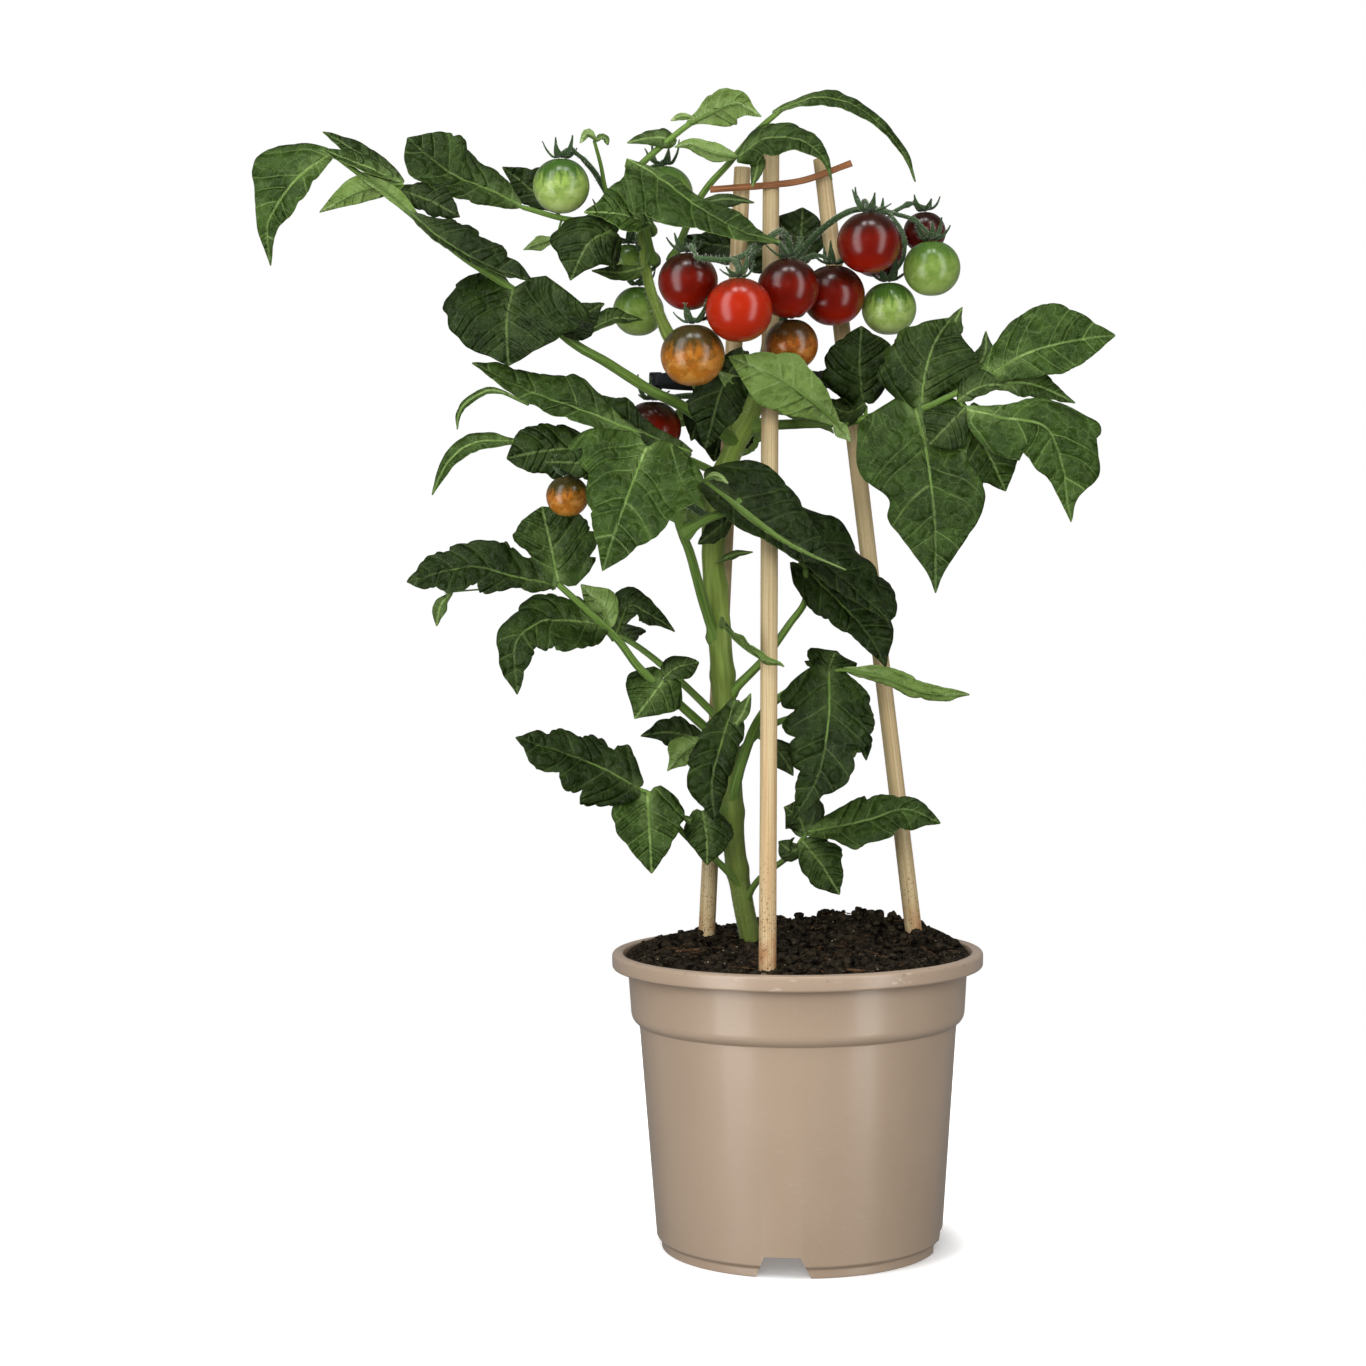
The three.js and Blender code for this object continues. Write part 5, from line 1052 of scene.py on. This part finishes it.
def leaf(name, sizes, chance):
    form = Form()
    base, end = sizes.radii
    stalks = [sizes.stalk] + ([sizes.fork] if sizes.fork else [])
    lines = []
    for points in stalks:
        swell = [(0, base * 0.5, 5), (0.02, base * 0.3, 3)]
        lines.append(tube(
            form, points, (base * 0.92, end), 10, 3, 2, chance.random(), swell, 0.05, chance.random()))
    lines = np.vstack(lines)
    for leaflet in sizes.leaflets.values():
        midrib, up = blade(form, leaflet, chance)
        length = len(midrib) * ROW_STEP
        thick = min(1.1, 0.5 + length / 120)
        shown = midrib[: max(3, int(len(midrib) * 0.82))]
        sunk = shown - up[: len(shown)] * 0.9
        start = [nearest(lines, leaflet.rib[0])] if leaflet.stalked else []
        inside = sunk[:: max(1, len(sunk) // 6)]
        tube(form, [*start, *inside], (thick, thick * 0.8, 0.25), 6, 3, 2, 0.5, rough=0)
    return form.piece(name + "_foliage", [LEAF_TOP, LEAF_UNDER, STALK_GREEN], "leaf", name)


# ---- places read from the photograph ----
def camera_ways():
    """The ways to the camera's right, up and ahead."""
    pitch, roll = math.radians(CAMERA_PITCH), math.radians(CAMERA_ROLL)
    ahead = np.array([0, math.cos(pitch), -math.sin(pitch)])
    upright = np.array([0, math.sin(pitch), math.cos(pitch)])
    level = np.array([1, 0, 0])
    right = level * math.cos(roll) + upright * math.sin(roll)
    up = upright * math.cos(roll) - level * math.sin(roll)
    return right, up, ahead


def seen_at(across, down, depth):
    """The point that a pixel of the photograph shows, at the depth chosen for it."""
    right, up, ahead = camera_ways()
    sideways = right * (across - PHOTO_MIDDLE) / LENS_IN_PIXELS
    upwards = up * (PHOTO_MIDDLE - down) / LENS_IN_PIXELS
    ray = sideways + upwards + ahead
    return np.array(CAMERA_PLACE) + ray * ((depth - CAMERA_PLACE[1]) / ray[1])


def points_in_mm(points):
    return [tuple(round(float(value)) for value in seen_at(*point)) for point in points]


def size_in_mm(pixels, depth):
    return pixels * (depth - CAMERA_PLACE[1]) / LENS_IN_PIXELS


def nearest_half(value):
    return round(float(value) * 2) / 2


def widths_in_mm(rib, widths, face):
    """Half widths from those seen in the photograph: a blade seen edge on is wider than it looks."""
    path = np.array([seen_at(*point) for point in rib])
    steps = np.diff(path, axis=0)
    lengths = np.linalg.norm(steps, axis=1)
    ends = np.concatenate([[0], np.cumsum(lengths)]) / lengths.sum()
    result = []
    for number, width in enumerate(widths, 1):
        share = number / (len(widths) + 1)
        step = min(max(np.searchsorted(ends, share) - 1, 0), len(steps) - 1)
        along = steps[step] / lengths[step]
        side = unit(np.cross(along, unit(np.array(face, float))))
        shown = abs(side[0] * along[2] - side[2] * along[0]) / math.hypot(along[0], along[2])
        depth = path[0, 1] + (path[-1, 1] - path[0, 1]) * share
        size = size_in_mm(width, depth) / max(shown, LEAST_SHOWN)
        result.append(round(float(size)) if size > 3 else nearest_half(size))
    return result


def leaflet_in_mm(leaflet):
    left = widths_in_mm(leaflet.rib, leaflet.left, leaflet.face)
    right = widths_in_mm(leaflet.rib, leaflet.right, leaflet.face)
    return leaflet._replace(rib=points_in_mm(leaflet.rib), left=left, right=right)


def leaf_in_mm(sizes):
    return sizes._replace(
        stalk=points_in_mm(sizes.stalk),
        leaflets={name: leaflet_in_mm(leaflet) for name, leaflet in sizes.leaflets.items()},
        fork=sizes.fork and points_in_mm(sizes.fork))


def fruit_in_mm(fruit):
    centre = points_in_mm([fruit.centre])[0]
    return fruit._replace(centre=centre, radius=nearest_half(size_in_mm(fruit.radius, fruit.centre[2])))


FRUITS = {name: fruit_in_mm(fruit) for name, fruit in FRUITS_IN_PHOTO.items()}
LEAVES = {name: leaf_in_mm(sizes) for name, sizes in LEAVES_IN_PHOTO.items()} | LEAVES_BEHIND


# ---- stem, trusses and fruit ----
def hairs(form, path, radius, per_mm, chance, slot, length=1.7):
    """Fine upright hairs on a stalk, each a thin three-sided spike."""
    path = np.asarray(path)
    steps = np.linalg.norm(np.diff(path, axis=0), axis=1)
    total = steps.sum()
    ends = np.cumsum(steps)
    for _ in range(round(total * per_mm)):
        place = chance.uniform(0, total)
        i = min(int(np.searchsorted(ends, place)), len(steps) - 1)
        along = unit(path[i + 1] - path[i])
        foot = path[i] + along * (place - (ends[i] - steps[i]))
        out = np.array([chance.gauss(0, 1) for _ in range(3)])
        out = unit(out - along * out.dot(along))
        turn = np.cross(along, out)
        reach = length * chance.uniform(0.5, 1.1)
        tip = (foot + out * (radius + reach) + along * chance.uniform(-0.4, 0.4)
               + turn * chance.uniform(-0.4, 0.4))
        foot = foot + out * radius * 0.8
        width = 0.07
        base = [foot + along * width, foot - along * width * 0.5 + turn * width,
                foot - along * width * 0.5 - turn * width]
        form.add(np.vstack([base, [tip]]), [[0, 1, 3], [1, 2, 3], [2, 0, 3], [0, 2, 1]], slot)


def stem(chance):
    form = Form()
    knots = [(share, 0.9, 4) for share in STEM_KNOTS]
    leader = tube(form, STEM, STEM_RADII, 20, 2.5, 0, 0.3, knots, 0.05, 1.0)
    shoot = tube(form, SHOOT, SHOOT_RADII, 16, 2.5, 0, 0.6, [(0, 1.6, 6), (0.5, 0.5, 4)], 0.05, 2.0)
    for points in ROOTS:
        tube(form, points, ROOT_RADII, 8, 4, 0, 0.9)
    above = leader[leader[:, 2] > RIM_TOP + 4]
    hairs(form, above, 5.6, 9, chance, 1, 1.5)
    hairs(form, shoot, 3.4, 6, chance, 1, 1.4)
    return form.piece("main_stem_living", [STEM_GREEN, HAIR], "main_stem", "main_stem")


def fruit_top(fruit):
    x, y, z = fruit.centre
    return np.array([x, y, z + fruit.radius * FRUIT_SQUASH + CALYX_RISE])


def calyx(form, fruit, chance):
    """Narrow hairy sepals that spread over the fruit's shoulder and curl up at their tips."""
    top = fruit_top(fruit) - (0, 0, CALYX_RISE - 0.9)
    reach = min(13, fruit.radius * 0.95)
    turn = chance.uniform(0, 2 * math.pi)
    for i in range(SEPALS):
        angle = turn + 2 * math.pi * i / SEPALS + chance.uniform(-0.2, 0.2)
        out = np.array([math.cos(angle), math.sin(angle), 0])
        own = reach * chance.uniform(0.8, 1.08)
        lift = chance.uniform(0.35, 1.4)
        rib = [top + out * 0.6, top + out * 0.36 * own + (0, 0, 0.04 * own * lift),
               top + out * own * (0.68 - 0.1 * lift) + (0, 0, 0.32 * own * lift),
               top + out * own * (1.0 - 0.3 * lift) + (0, 0, own * lift * 0.75)]
        widths = (1.9, 1.9, 1.4, 0.7)
        sepal = Leaflet([tuple(point) for point in rib], widths, widths, (0, 0, 1), heart=0, lobes=0)
        path, _ = blade(form, sepal, chance, 0.25, 0.5, (0, 0))
        hairs(form, path, 0.7, 2.2, chance, 1, 1.0)


def truss(name, sizes, chance):
    form = Form()
    main = tube(form, sizes.stalk, TRUSS_RADII, 12, 2, 0, 0.4, [(0, 1.2, 4)], 0.05, chance.random())
    hairs(form, main, TRUSS_RADII[0], 4, chance, 1, 1.3)
    for fruit_name in sizes.fruits:
        fruit = FRUITS[fruit_name]
        top = fruit_top(fruit)
        route = sizes.routes.get(fruit_name)
        if route:
            points = [nearest(main, route[0]), *route[1:], top]
        else:
            start = nearest(main, top)
            middle = start + (top - start) * ARCH["share"] + (0, 0, ARCH["rise"])
            points = [start, middle, top]
        path = tube(form, points, PEDICEL_RADII, 10, 1.5, 0, 0.6, [(0.5, 0.75, 1.6), (1, 0.9, 1.6)], 0.04)
        hairs(form, path, PEDICEL_RADII[0], 5, chance, 1, 1.1)
        calyx(form, fruit, chance)
    return form.piece(name + "_stalks", [TRUSS_GREEN, HAIR], "truss_stalks", name)


def tomato(name, fruit, chance):
    """A round fruit with a dimple at the calyx and very slightly lobed shoulders."""
    form = Form()
    rows, sides = 36, 56
    polar = np.linspace(0.03, math.pi - 0.03, rows)[:, None]
    angle = turns(sides)[None]
    turn = chance.uniform(0, 6)
    lobes = 1 + 0.008 * np.cos(5 * angle + turn) * np.sin(polar) ** 2 * (polar < 1.6)
    radius = fruit.radius * lobes
    x = radius * np.sin(polar) * np.cos(angle)
    y = radius * np.sin(polar) * np.sin(angle)
    spread = np.hypot(x, y) / fruit.radius
    dimple = 0.055 * fruit.radius * np.exp(-((spread / 0.28) ** 2))
    pressed_in = np.sign(np.cos(polar)) * dimple * np.where(polar < 1.6, 1, 0.4)
    z = FRUIT_SQUASH * radius * np.cos(polar) - pressed_in
    points = np.stack([x, y, z], -1).reshape(-1, 3) + fruit.centre
    form.add(points, closed_faces(rows, sides))
    return form.piece(name + "_fruit", [SKINS[fruit.skin]], FRUIT_SLOTS[fruit.skin], name)


# ---- pot ----
def revolve(form, profile, sides, slot=0):
    """A closed turned shape. The profile runs along the underside outwards, up and back to the axis."""
    profile = np.array(profile, float)
    angle = turns(sides)
    ring = np.stack([np.cos(angle), np.sin(angle)], 1)
    rows = [np.column_stack([ring * radius, np.full(sides, height)]) for radius, height in profile]
    faces = [face[::-1] for face in closed_faces(len(profile), sides)]
    form.add(np.vstack(rows), faces, slot)


def rounded(profile, size, steps=4):
    """The profile with each inner corner cut by an arc of about size."""
    points = [np.array(point, float) for point in profile]
    result = [points[0]]
    for before, corner, after in zip(points, points[1:], points[2:]):
        reach = min(size, math.dist(before, corner) * 0.45, math.dist(corner, after) * 0.45)
        start = corner + unit(before - corner) * reach
        end = corner + unit(after - corner) * reach
        for t in np.linspace(0, 1, steps):
            result.append(start * (1 - t) ** 2 + corner * 2 * t * (1 - t) + end * t**2)
    return result + [points[-1]]


def cutting_solid(points):
    """A temporary solid for cutting, from the corners of its two ends."""
    count = len(points) // 2
    faces = [list(range(count))[::-1], list(range(count, 2 * count))]
    faces += [[i, (i + 1) % count, (i + 1) % count + count, i + count] for i in range(count)]
    mesh = bpy.data.meshes.new("cutter")
    mesh.from_pydata(points, [], faces)
    return add_object("cutter", mesh)


def prism(corners, low, high, turn):
    """A temporary solid for cutting: corners in the (y, z) plane, drawn out along x, turned about Z."""
    points = [(x, y, z) for x in (low, high) for y, z in corners]
    spin = Matrix.Rotation(turn, 3, "Z")
    points = [(spin @ Vector(point) + Vector(AXIS)) * MM for point in points]
    return cutting_solid(points)


def cut(thing, cutters):
    for cutter in cutters:
        modifier = thing.modifiers.new("cut", "BOOLEAN")
        modifier.operation = "DIFFERENCE"
        modifier.solver = "EXACT"
        modifier.object = cutter
    bpy.context.view_layer.update()
    shape = thing.evaluated_get(bpy.context.evaluated_depsgraph_get())
    mesh = bpy.data.meshes.new_from_object(shape)
    thing.modifiers.clear()
    thing.data = mesh
    for cutter in cutters:
        bpy.data.objects.remove(cutter)


def pot():
    inner = lambda radius: radius - WALL
    foot_inner = FOOT_RADIUS - FOOT_WIDTH
    profile = rounded([
        (2, FLOOR_BOTTOM), (foot_inner + 1.5, FLOOR_BOTTOM), (foot_inner, 0), (FOOT_RADIUS, 0),
        (FOOT_RADIUS, FOOT_HEIGHT - 0.6), (BODY_BOTTOM_RADIUS, FOOT_HEIGHT + 1.2),
        (BODY_TOP_RADIUS, STEP_BOTTOM - 0.6), (BODY_TOP_RADIUS + 1.2, STEP_BOTTOM),
        (BODY_TOP_RADIUS + 2.6, STEP_BOTTOM + 1.2), (BODY_TOP_RADIUS + 3.6, STEP_BOTTOM + 2.8),
        (NECK_FOOT_RADIUS, STEP_TOP + 1), (NECK_RADIUS, LIP_BOTTOM),
        (RIM_RADIUS - 0.8, LIP_BOTTOM), (RIM_RADIUS - 0.1, LIP_BOTTOM + 0.9), (RIM_RADIUS, RIM_TOP - 1.6),
        (RIM_RADIUS - 0.9, RIM_TOP - 0.4), (RIM_RADIUS - 3.4, RIM_TOP), (RIM_RADIUS - 5.6, RIM_TOP - 0.5),
        (RIM_RADIUS - 6.1, LIP_BOTTOM + 1), (inner(NECK_RADIUS), LIP_BOTTOM),
        (inner(NECK_FOOT_RADIUS), STEP_TOP),
        (inner(BODY_TOP_RADIUS), STEP_BOTTOM), (inner(BODY_BOTTOM_RADIUS), FLOOR_TOP), (2, FLOOR_TOP),
    ], 0.7)
    form = Form()
    revolve(form, profile, 200)
    thing = form.piece("pot_moulded", [POT_PLASTIC], "pot", "pot")
    half_low, half_high = NOTCH["bottom"] / 2, NOTCH["top"] / 2
    notch = [(-half_low - 1, -2), (half_low + 1, -2),
             (half_high, NOTCH["height"]), (-half_high, NOTCH["height"])]
    hole = [(DRAIN_HOLE["radius"] * math.cos(a), DRAIN_HOLE["radius"] * math.sin(a))
            for a in turns(32)]
    cutters = []
    for i in range(NOTCH["count"]):
        turn = math.radians(NOTCH["first"] + 360 * i / NOTCH["count"])
        start = FOOT_RADIUS - NOTCH["depth"] / 2
        cutters.append(prism(notch, start, start + NOTCH["depth"], turn))
        cutters.append(drain_cutter(hole, turn))
    cut(thing, cutters)
    thing.data.set_sharp_from_angle(angle=math.radians(35))
    return thing


def drain_cutter(outline_points, turn):
    """A short upright round solid at a drain hole."""
    distance = DRAIN_HOLE["distance"]
    middle = np.array([distance * math.cos(turn), distance * math.sin(turn), 0])
    points = [(np.array([x, y, z]) + middle + AXIS) * MM
              for z in (FLOOR_BOTTOM - 1, FLOOR_TOP + 1) for x, y in outline_points]
    return cutting_solid([point.tolist() for point in points])


# ---- soil ----
def hill(shape, x, y):
    return shape["height"] * np.exp(-(((x - shape["x"]) / shape["spread_x"]) ** 2)
                                    - ((y - shape["y"]) / shape["spread_y"]) ** 2)


def soil_height(x, y):
    edge = SOIL_EDGE_FALL * (np.hypot(x, y) / BODY_TOP_RADIUS) ** 4
    return SOIL_LEVEL + SOIL_SLOPE * y + hill(MOUND, x, y) + hill(DIP, x, y) - edge


def lump(form, centre, size, chance, slot, flat=0.8):
    """An irregular crumb."""
    rows, sides = (5, 7) if size < 1.4 else (7, 10)
    polar = np.linspace(0.25, math.pi - 0.25, rows)[:, None]
    angle = turns(sides)[None]
    points = np.stack([np.sin(polar) * np.cos(angle), np.sin(polar) * np.sin(angle),
                       np.cos(polar) * flat * np.ones_like(angle)], -1).reshape(-1, 3)
    swell = 1 + 0.45 * ripple(points, 0.7, chance.uniform(0, 90))
    shape = np.array([chance.uniform(0.75, 1.25), chance.uniform(0.75, 1.25), chance.uniform(0.8, 1.1)])
    points = points * swell[:, None] * shape * size
    form.add(points + centre, closed_faces(rows, sides), slot, tint=chance.random())


def soil(chance):
    form = Form()
    rings, sides = 74, 200
    radius = np.linspace(0.5, SOIL_RADIUS, rings)
    angle = turns(sides)
    x = np.outer(radius, np.cos(angle)).ravel()
    y = np.outer(radius, np.sin(angle)).ravel()
    flat = np.stack([x, y, x * 0], 1)
    rough = 1.5 * ripple(flat, 13, 1) + 1.5 * ripple(flat, 5, 2) + 1.0 * ripple(flat, 2.3, 3)
    rough = rough * np.clip((SOIL_RADIUS + 3 - np.hypot(x, y)) / 12, 0.25, 1)
    top = np.stack([x, y, soil_height(x, y) + rough], 1)
    lower = [(SOIL_RADIUS - 0.2, LIP_BOTTOM + 1.5), (NECK_RADIUS - WALL - 0.6, LIP_BOTTOM - 0.5),
             (NECK_FOOT_RADIUS - WALL - 0.6, STEP_TOP), (BODY_TOP_RADIUS - WALL - 0.6, STEP_BOTTOM),
             (BODY_BOTTOM_RADIUS - WALL - 0.6, FLOOR_TOP + 0.4), (2, FLOOR_TOP + 0.4)]
    ring = np.stack([np.cos(angle), np.sin(angle)], 1)
    body = [np.column_stack([ring * r, np.full(sides, z)]) for r, z in lower]
    faces = closed_faces(rings + len(lower), sides)
    form.add(np.vstack([top, *body]), faces)

    def somewhere(edge=3.0):
        spot = (SOIL_RADIUS - edge) * math.sqrt(chance.random())
        way = chance.uniform(0, 2 * math.pi)
        return spot * math.cos(way), spot * math.sin(way)

    for count, low, high in ((1100, 0.4, 1.0), (440, 0.9, 2.0), (150, 1.6, 3.1)):
        for _ in range(count):
            px, py = somewhere()
            size = chance.uniform(low, high)
            height = float(soil_height(px, py)) + size * chance.uniform(-0.1, 0.9)
            lump(form, (px, py, height), size, chance, 0)
    for px, py, size in CLODS:
        for _ in range(5):
            near = (px + chance.gauss(0, size * 0.6), py + chance.gauss(0, size * 0.6))
            height = float(soil_height(*near)) + size * chance.uniform(0.2, 1.0)
            lump(form, (*near, height), size * chance.uniform(0.5, 0.9), chance, 0)
    for _ in range(70):
        px, py = somewhere()
        lump(form, (px, py, float(soil_height(px, py)) + 1.2), chance.uniform(0.2, 0.5), chance, 2)
    for _ in range(90):
        px, py = somewhere(8)
        way = chance.uniform(0, math.pi)
        reach = chance.uniform(2, 9)
        ends = [(px + reach * t * math.cos(way + 0.3 * t), py + reach * t * math.sin(way + 0.3 * t))
                for t in (-0.5, 0, 0.5)]
        points = [(a, b, float(soil_height(a, b)) + chance.uniform(1.0, 2.2)) for a, b in ends]
        tube(form, points, (0.28, 0.2), 5, 2, 1, chance.random(), rough=0.1)
    for points, thick, slot in STICKS:
        tube(form, points, (thick, thick * 0.7), 7, 2, slot, 0.5, rough=0.12)
    return form.piece("soil_crumbly", [SOIL, FIBRE, PALE_GRAIN], "soil", "soil")


# ---- canes, tie and hoop ----
def cane(name, ends, chance):
    """A straight cane with a cut, slightly hollow top and a gentle swell along it."""
    foot, top = np.array(ends[0], float), np.array(ends[1], float)
    lean = unit(foot - top)
    start = foot + lean * CANE_DEPTH
    form = Form()
    length = math.dist(start, top)
    sides = 24
    rows = max(3, round(length / 4))
    share = np.linspace(0, 1, rows)
    tangents = np.repeat(-lean[None], rows, 0)
    across, over = ring_frames(tangents)
    path = start + (top - start) * share[:, None]
    bend = 0.5 * np.sin(share * 7 + chance.uniform(0, 6))
    path = path + across * bend[:, None] * np.sin(share * math.pi)[:, None]
    radius = CANE_RADIUS * (0.97 + 0.02 * np.sin(share * 9 + chance.uniform(0, 6)))
    path = np.vstack([path, path[-1:], path[-1:], path[-1:] + lean * 1.2])
    radius = np.concatenate([radius, [CANE_RADIUS * 0.93, CANE_RADIUS * 0.42, CANE_RADIUS * 0.36]])
    across = np.vstack([across, np.repeat(across[-1:], 3, 0)])
    over = np.vstack([over, np.repeat(over[-1:], 3, 0)])
    path[rows - 1] += lean * 0.5
    angle = turns(sides)
    rings = rings_round(path, across, over, radius, angle)
    along = np.concatenate([share * length, [length, length + 3, length + 6]])
    wrapped = np.abs(angle / math.pi - 1)
    pattern = np.stack([np.tile(wrapped, len(path)), np.repeat(along / 100, sides)], 1)
    form.add(rings.reshape(-1, 3), closed_faces(len(path), sides), 0, pattern, chance.random())
    return form.piece(name + "_straw", [CANE_STRAW], "cane", name, sharp=50)


def reed():
    """A flat strip of reed in front of the canes."""
    form = Form()
    sides = 12
    path, tangents, places = smooth_path(REED, 1.5)
    across, over = ring_frames(tangents)
    angle = turns(sides)
    tall = 1.75 + 0.25 * ripple(np.stack([places, places * 0, places * 0], 1), 9, 3.0)
    deep = 0.75 + 0.1 * ripple(np.stack([places, places * 0, places * 0], 1), 5, 7.0)
    rings = path[:, None] + (across[:, None] * (np.cos(angle)[None] * deep[:, None])[..., None]
                             + over[:, None] * (np.sin(angle)[None] * tall[:, None])[..., None])
    pattern = np.stack([np.tile(np.abs(angle / math.pi - 1), len(path)), np.repeat(places / 100, sides)], 1)
    form.add(rings.reshape(-1, 3), closed_faces(len(path), sides), 0, pattern)
    return form.piece("reed_tie_bark", [REED_BARK], "reed_tie", "reed_tie")


def hoop():
    """A plastic strap bent to an oval, with a clasp at each side."""
    form = Form()
    sides = 120
    middle = np.array([HOOP["x"], HOOP["y"], 0])
    low, high, band = HOOP["z"], HOOP["z"] + HOOP["height"], HOOP["band"]
    section = rounded(
        [(0, low + 1), (0, low), (-band, low), (-band, high), (0, high), (0, low + 1)], 0.45, 3)
    angle = turns(sides)
    rows = []
    for offset, height in section:
        rows.append(np.column_stack([(HOOP["radius_x"] + offset) * np.cos(angle),
                                     (HOOP["radius_y"] + offset) * np.sin(angle), np.full(sides, height)]))
    form.add(np.vstack(rows) + middle, closed_faces(len(rows), sides, capped=False))
    for side in (-1, 1):
        centre = middle + (side * (HOOP["radius_x"] - 1), 0, (low + high) / 2)
        rounded_block(form, centre, CLASP)
    return form.piece("support_hoop_strap", [HOOP_PLASTIC], "support_hoop", "support_hoop", sharp=40)


def rounded_block(form, centre, size, power=0.22):
    """A box with soft edges."""
    rows, sides = 17, 32
    polar = np.linspace(0.02, math.pi - 0.02, rows)[:, None]
    angle = turns(sides)[None]
    bow = lambda value: np.sign(value) * np.abs(value) ** power
    points = np.stack([bow(np.sin(polar)) * bow(np.cos(angle)), bow(np.sin(polar)) * bow(np.sin(angle)),
                       bow(np.cos(polar)) * np.ones_like(angle)], -1).reshape(-1, 3)
    form.add(points * np.array(size) / 2 + centre, closed_faces(rows, sides))


# ---- stage ----
def floor():
    mesh = bpy.data.meshes.new("floor")
    angle = turns(96)
    ring = np.stack([np.cos(angle) * FLOOR["radius"], np.sin(angle) * FLOOR["radius"], angle * 0], 1)
    points = (ring + np.array(AXIS) * MM).tolist()
    mesh.from_pydata(points, [], [list(range(len(points)))])
    s = Shader("floor_white", Base_Color=(0.85, 0.85, 0.85, 1), Roughness=0.7, Emission_Color=(1, 1, 1, 1))
    middle = (np.array(AXIS) + (*FLOOR["shade"], 0)) * MM
    away = s.node("VectorMath", {0: s.place(), 1: tuple(middle)}, "Value", operation="DISTANCE")
    # painted shadow: the glow stays low within near of a middle moved by shade, so the floor darkens round
    # the foot, more to the right and back
    glow_and_painted_shadow = s.blend(away, FLOOR["near"], FLOOR["far"], FLOOR["near_glow"], FLOOR["far_glow"])
    s.feed(s.surface.inputs["Emission Strength"], glow_and_painted_shadow)
    mesh.materials.append(s.material)
    thing = bpy.data.objects.new("floor", mesh)
    thing.visible_glossy = False
    thing.visible_diffuse = False
    bpy.context.collection.objects.link(thing)


def softbox(name, place, aim, size, power, mirrored):
    """A rectangular lamp at place, in metres from the pot's foot, that faces aim."""
    lamp = bpy.data.lights.new(name, "AREA")
    lamp.shape = "RECTANGLE"
    lamp.size, lamp.size_y = size
    lamp.energy = power
    thing = bpy.data.objects.new(name, lamp)
    thing.visible_glossy = mirrored
    shift = Vector(AXIS) * MM
    thing.location = Vector(place) + shift
    thing.rotation_euler = (Vector(aim) - Vector(place)).to_track_quat("-Z", "Y").to_euler()
    bpy.context.collection.objects.link(thing)


def studio():
    world = bpy.data.worlds.new("studio")
    world.use_nodes = True
    nodes, links = world.node_tree.nodes, world.node_tree.links
    background = nodes["Background"]
    background.inputs["Color"].default_value = (1, 1, 1, 1)
    path = nodes.new("ShaderNodeLightPath")
    level = path.outputs["Is Camera Ray"]
    direction = nodes.new("ShaderNodeSeparateXYZ")
    links.new(nodes.new("ShaderNodeTexCoord").outputs["Generated"], direction.inputs[0])
    for ray, axis, span, strengths in (("Is Diffuse Ray", "Z", (0.1, -0.9), AMBIENT),
                                       ("Is Glossy Ray", "Y", (0.0, 0.7), MIRRORED)):
        strength = nodes.new("ShaderNodeMapRange")
        for socket, value in zip(strength.inputs[1:5], (*span, *strengths)):
            socket.default_value = value
        share = nodes.new("ShaderNodeMath")
        share.operation = "MULTIPLY_ADD"
        links.new(direction.outputs[axis], strength.inputs[0])
        links.new(strength.outputs[0], share.inputs[1])
        links.new(path.outputs[ray], share.inputs[0])
        links.new(level, share.inputs[2])
        level = share.outputs[0]
    links.new(level, background.inputs["Strength"])
    bpy.context.scene.world = world
    bpy.context.scene.view_settings.view_transform = "Standard"
    for name, azimuth, distance, height, size, power, mirrored in LAMPS:
        angle = math.radians(azimuth)
        place = (distance * math.sin(angle), -distance * math.cos(angle), height)
        softbox(name, place, (0, 0, 0.35), size, power, mirrored)


def camera():
    """The photograph's camera: nearly level, turned by its pitch and roll only."""
    right, up, ahead = (Vector(way) for way in camera_ways())
    lens = bpy.data.cameras.new("camera")
    lens.lens = CAMERA_LENS
    lens.sensor_width = 36
    lens.clip_start = 0.05
    thing = add_object("camera", lens)
    thing.matrix_world = Matrix.Translation((Vector(CAMERA_PLACE) + Vector(AXIS)) * MM) @ Matrix(
        (right, up, -ahead)).transposed().to_4x4()
    bpy.context.scene.camera = thing


def build():
    chance = random.Random(20)
    pot()
    soil(chance)
    for name, ends in CANES.items():
        cane(name, ends, chance)
    reed()
    hoop()
    stem(chance)
    for name, sizes in TRUSSES.items():
        truss(name, sizes, chance)
    for name, fruit in FRUITS.items():
        tomato(name, fruit, chance)
    for name, sizes in LEAVES.items():
        leaf(name, sizes, random.Random(name))
    floor()
    studio()
    camera()


build()
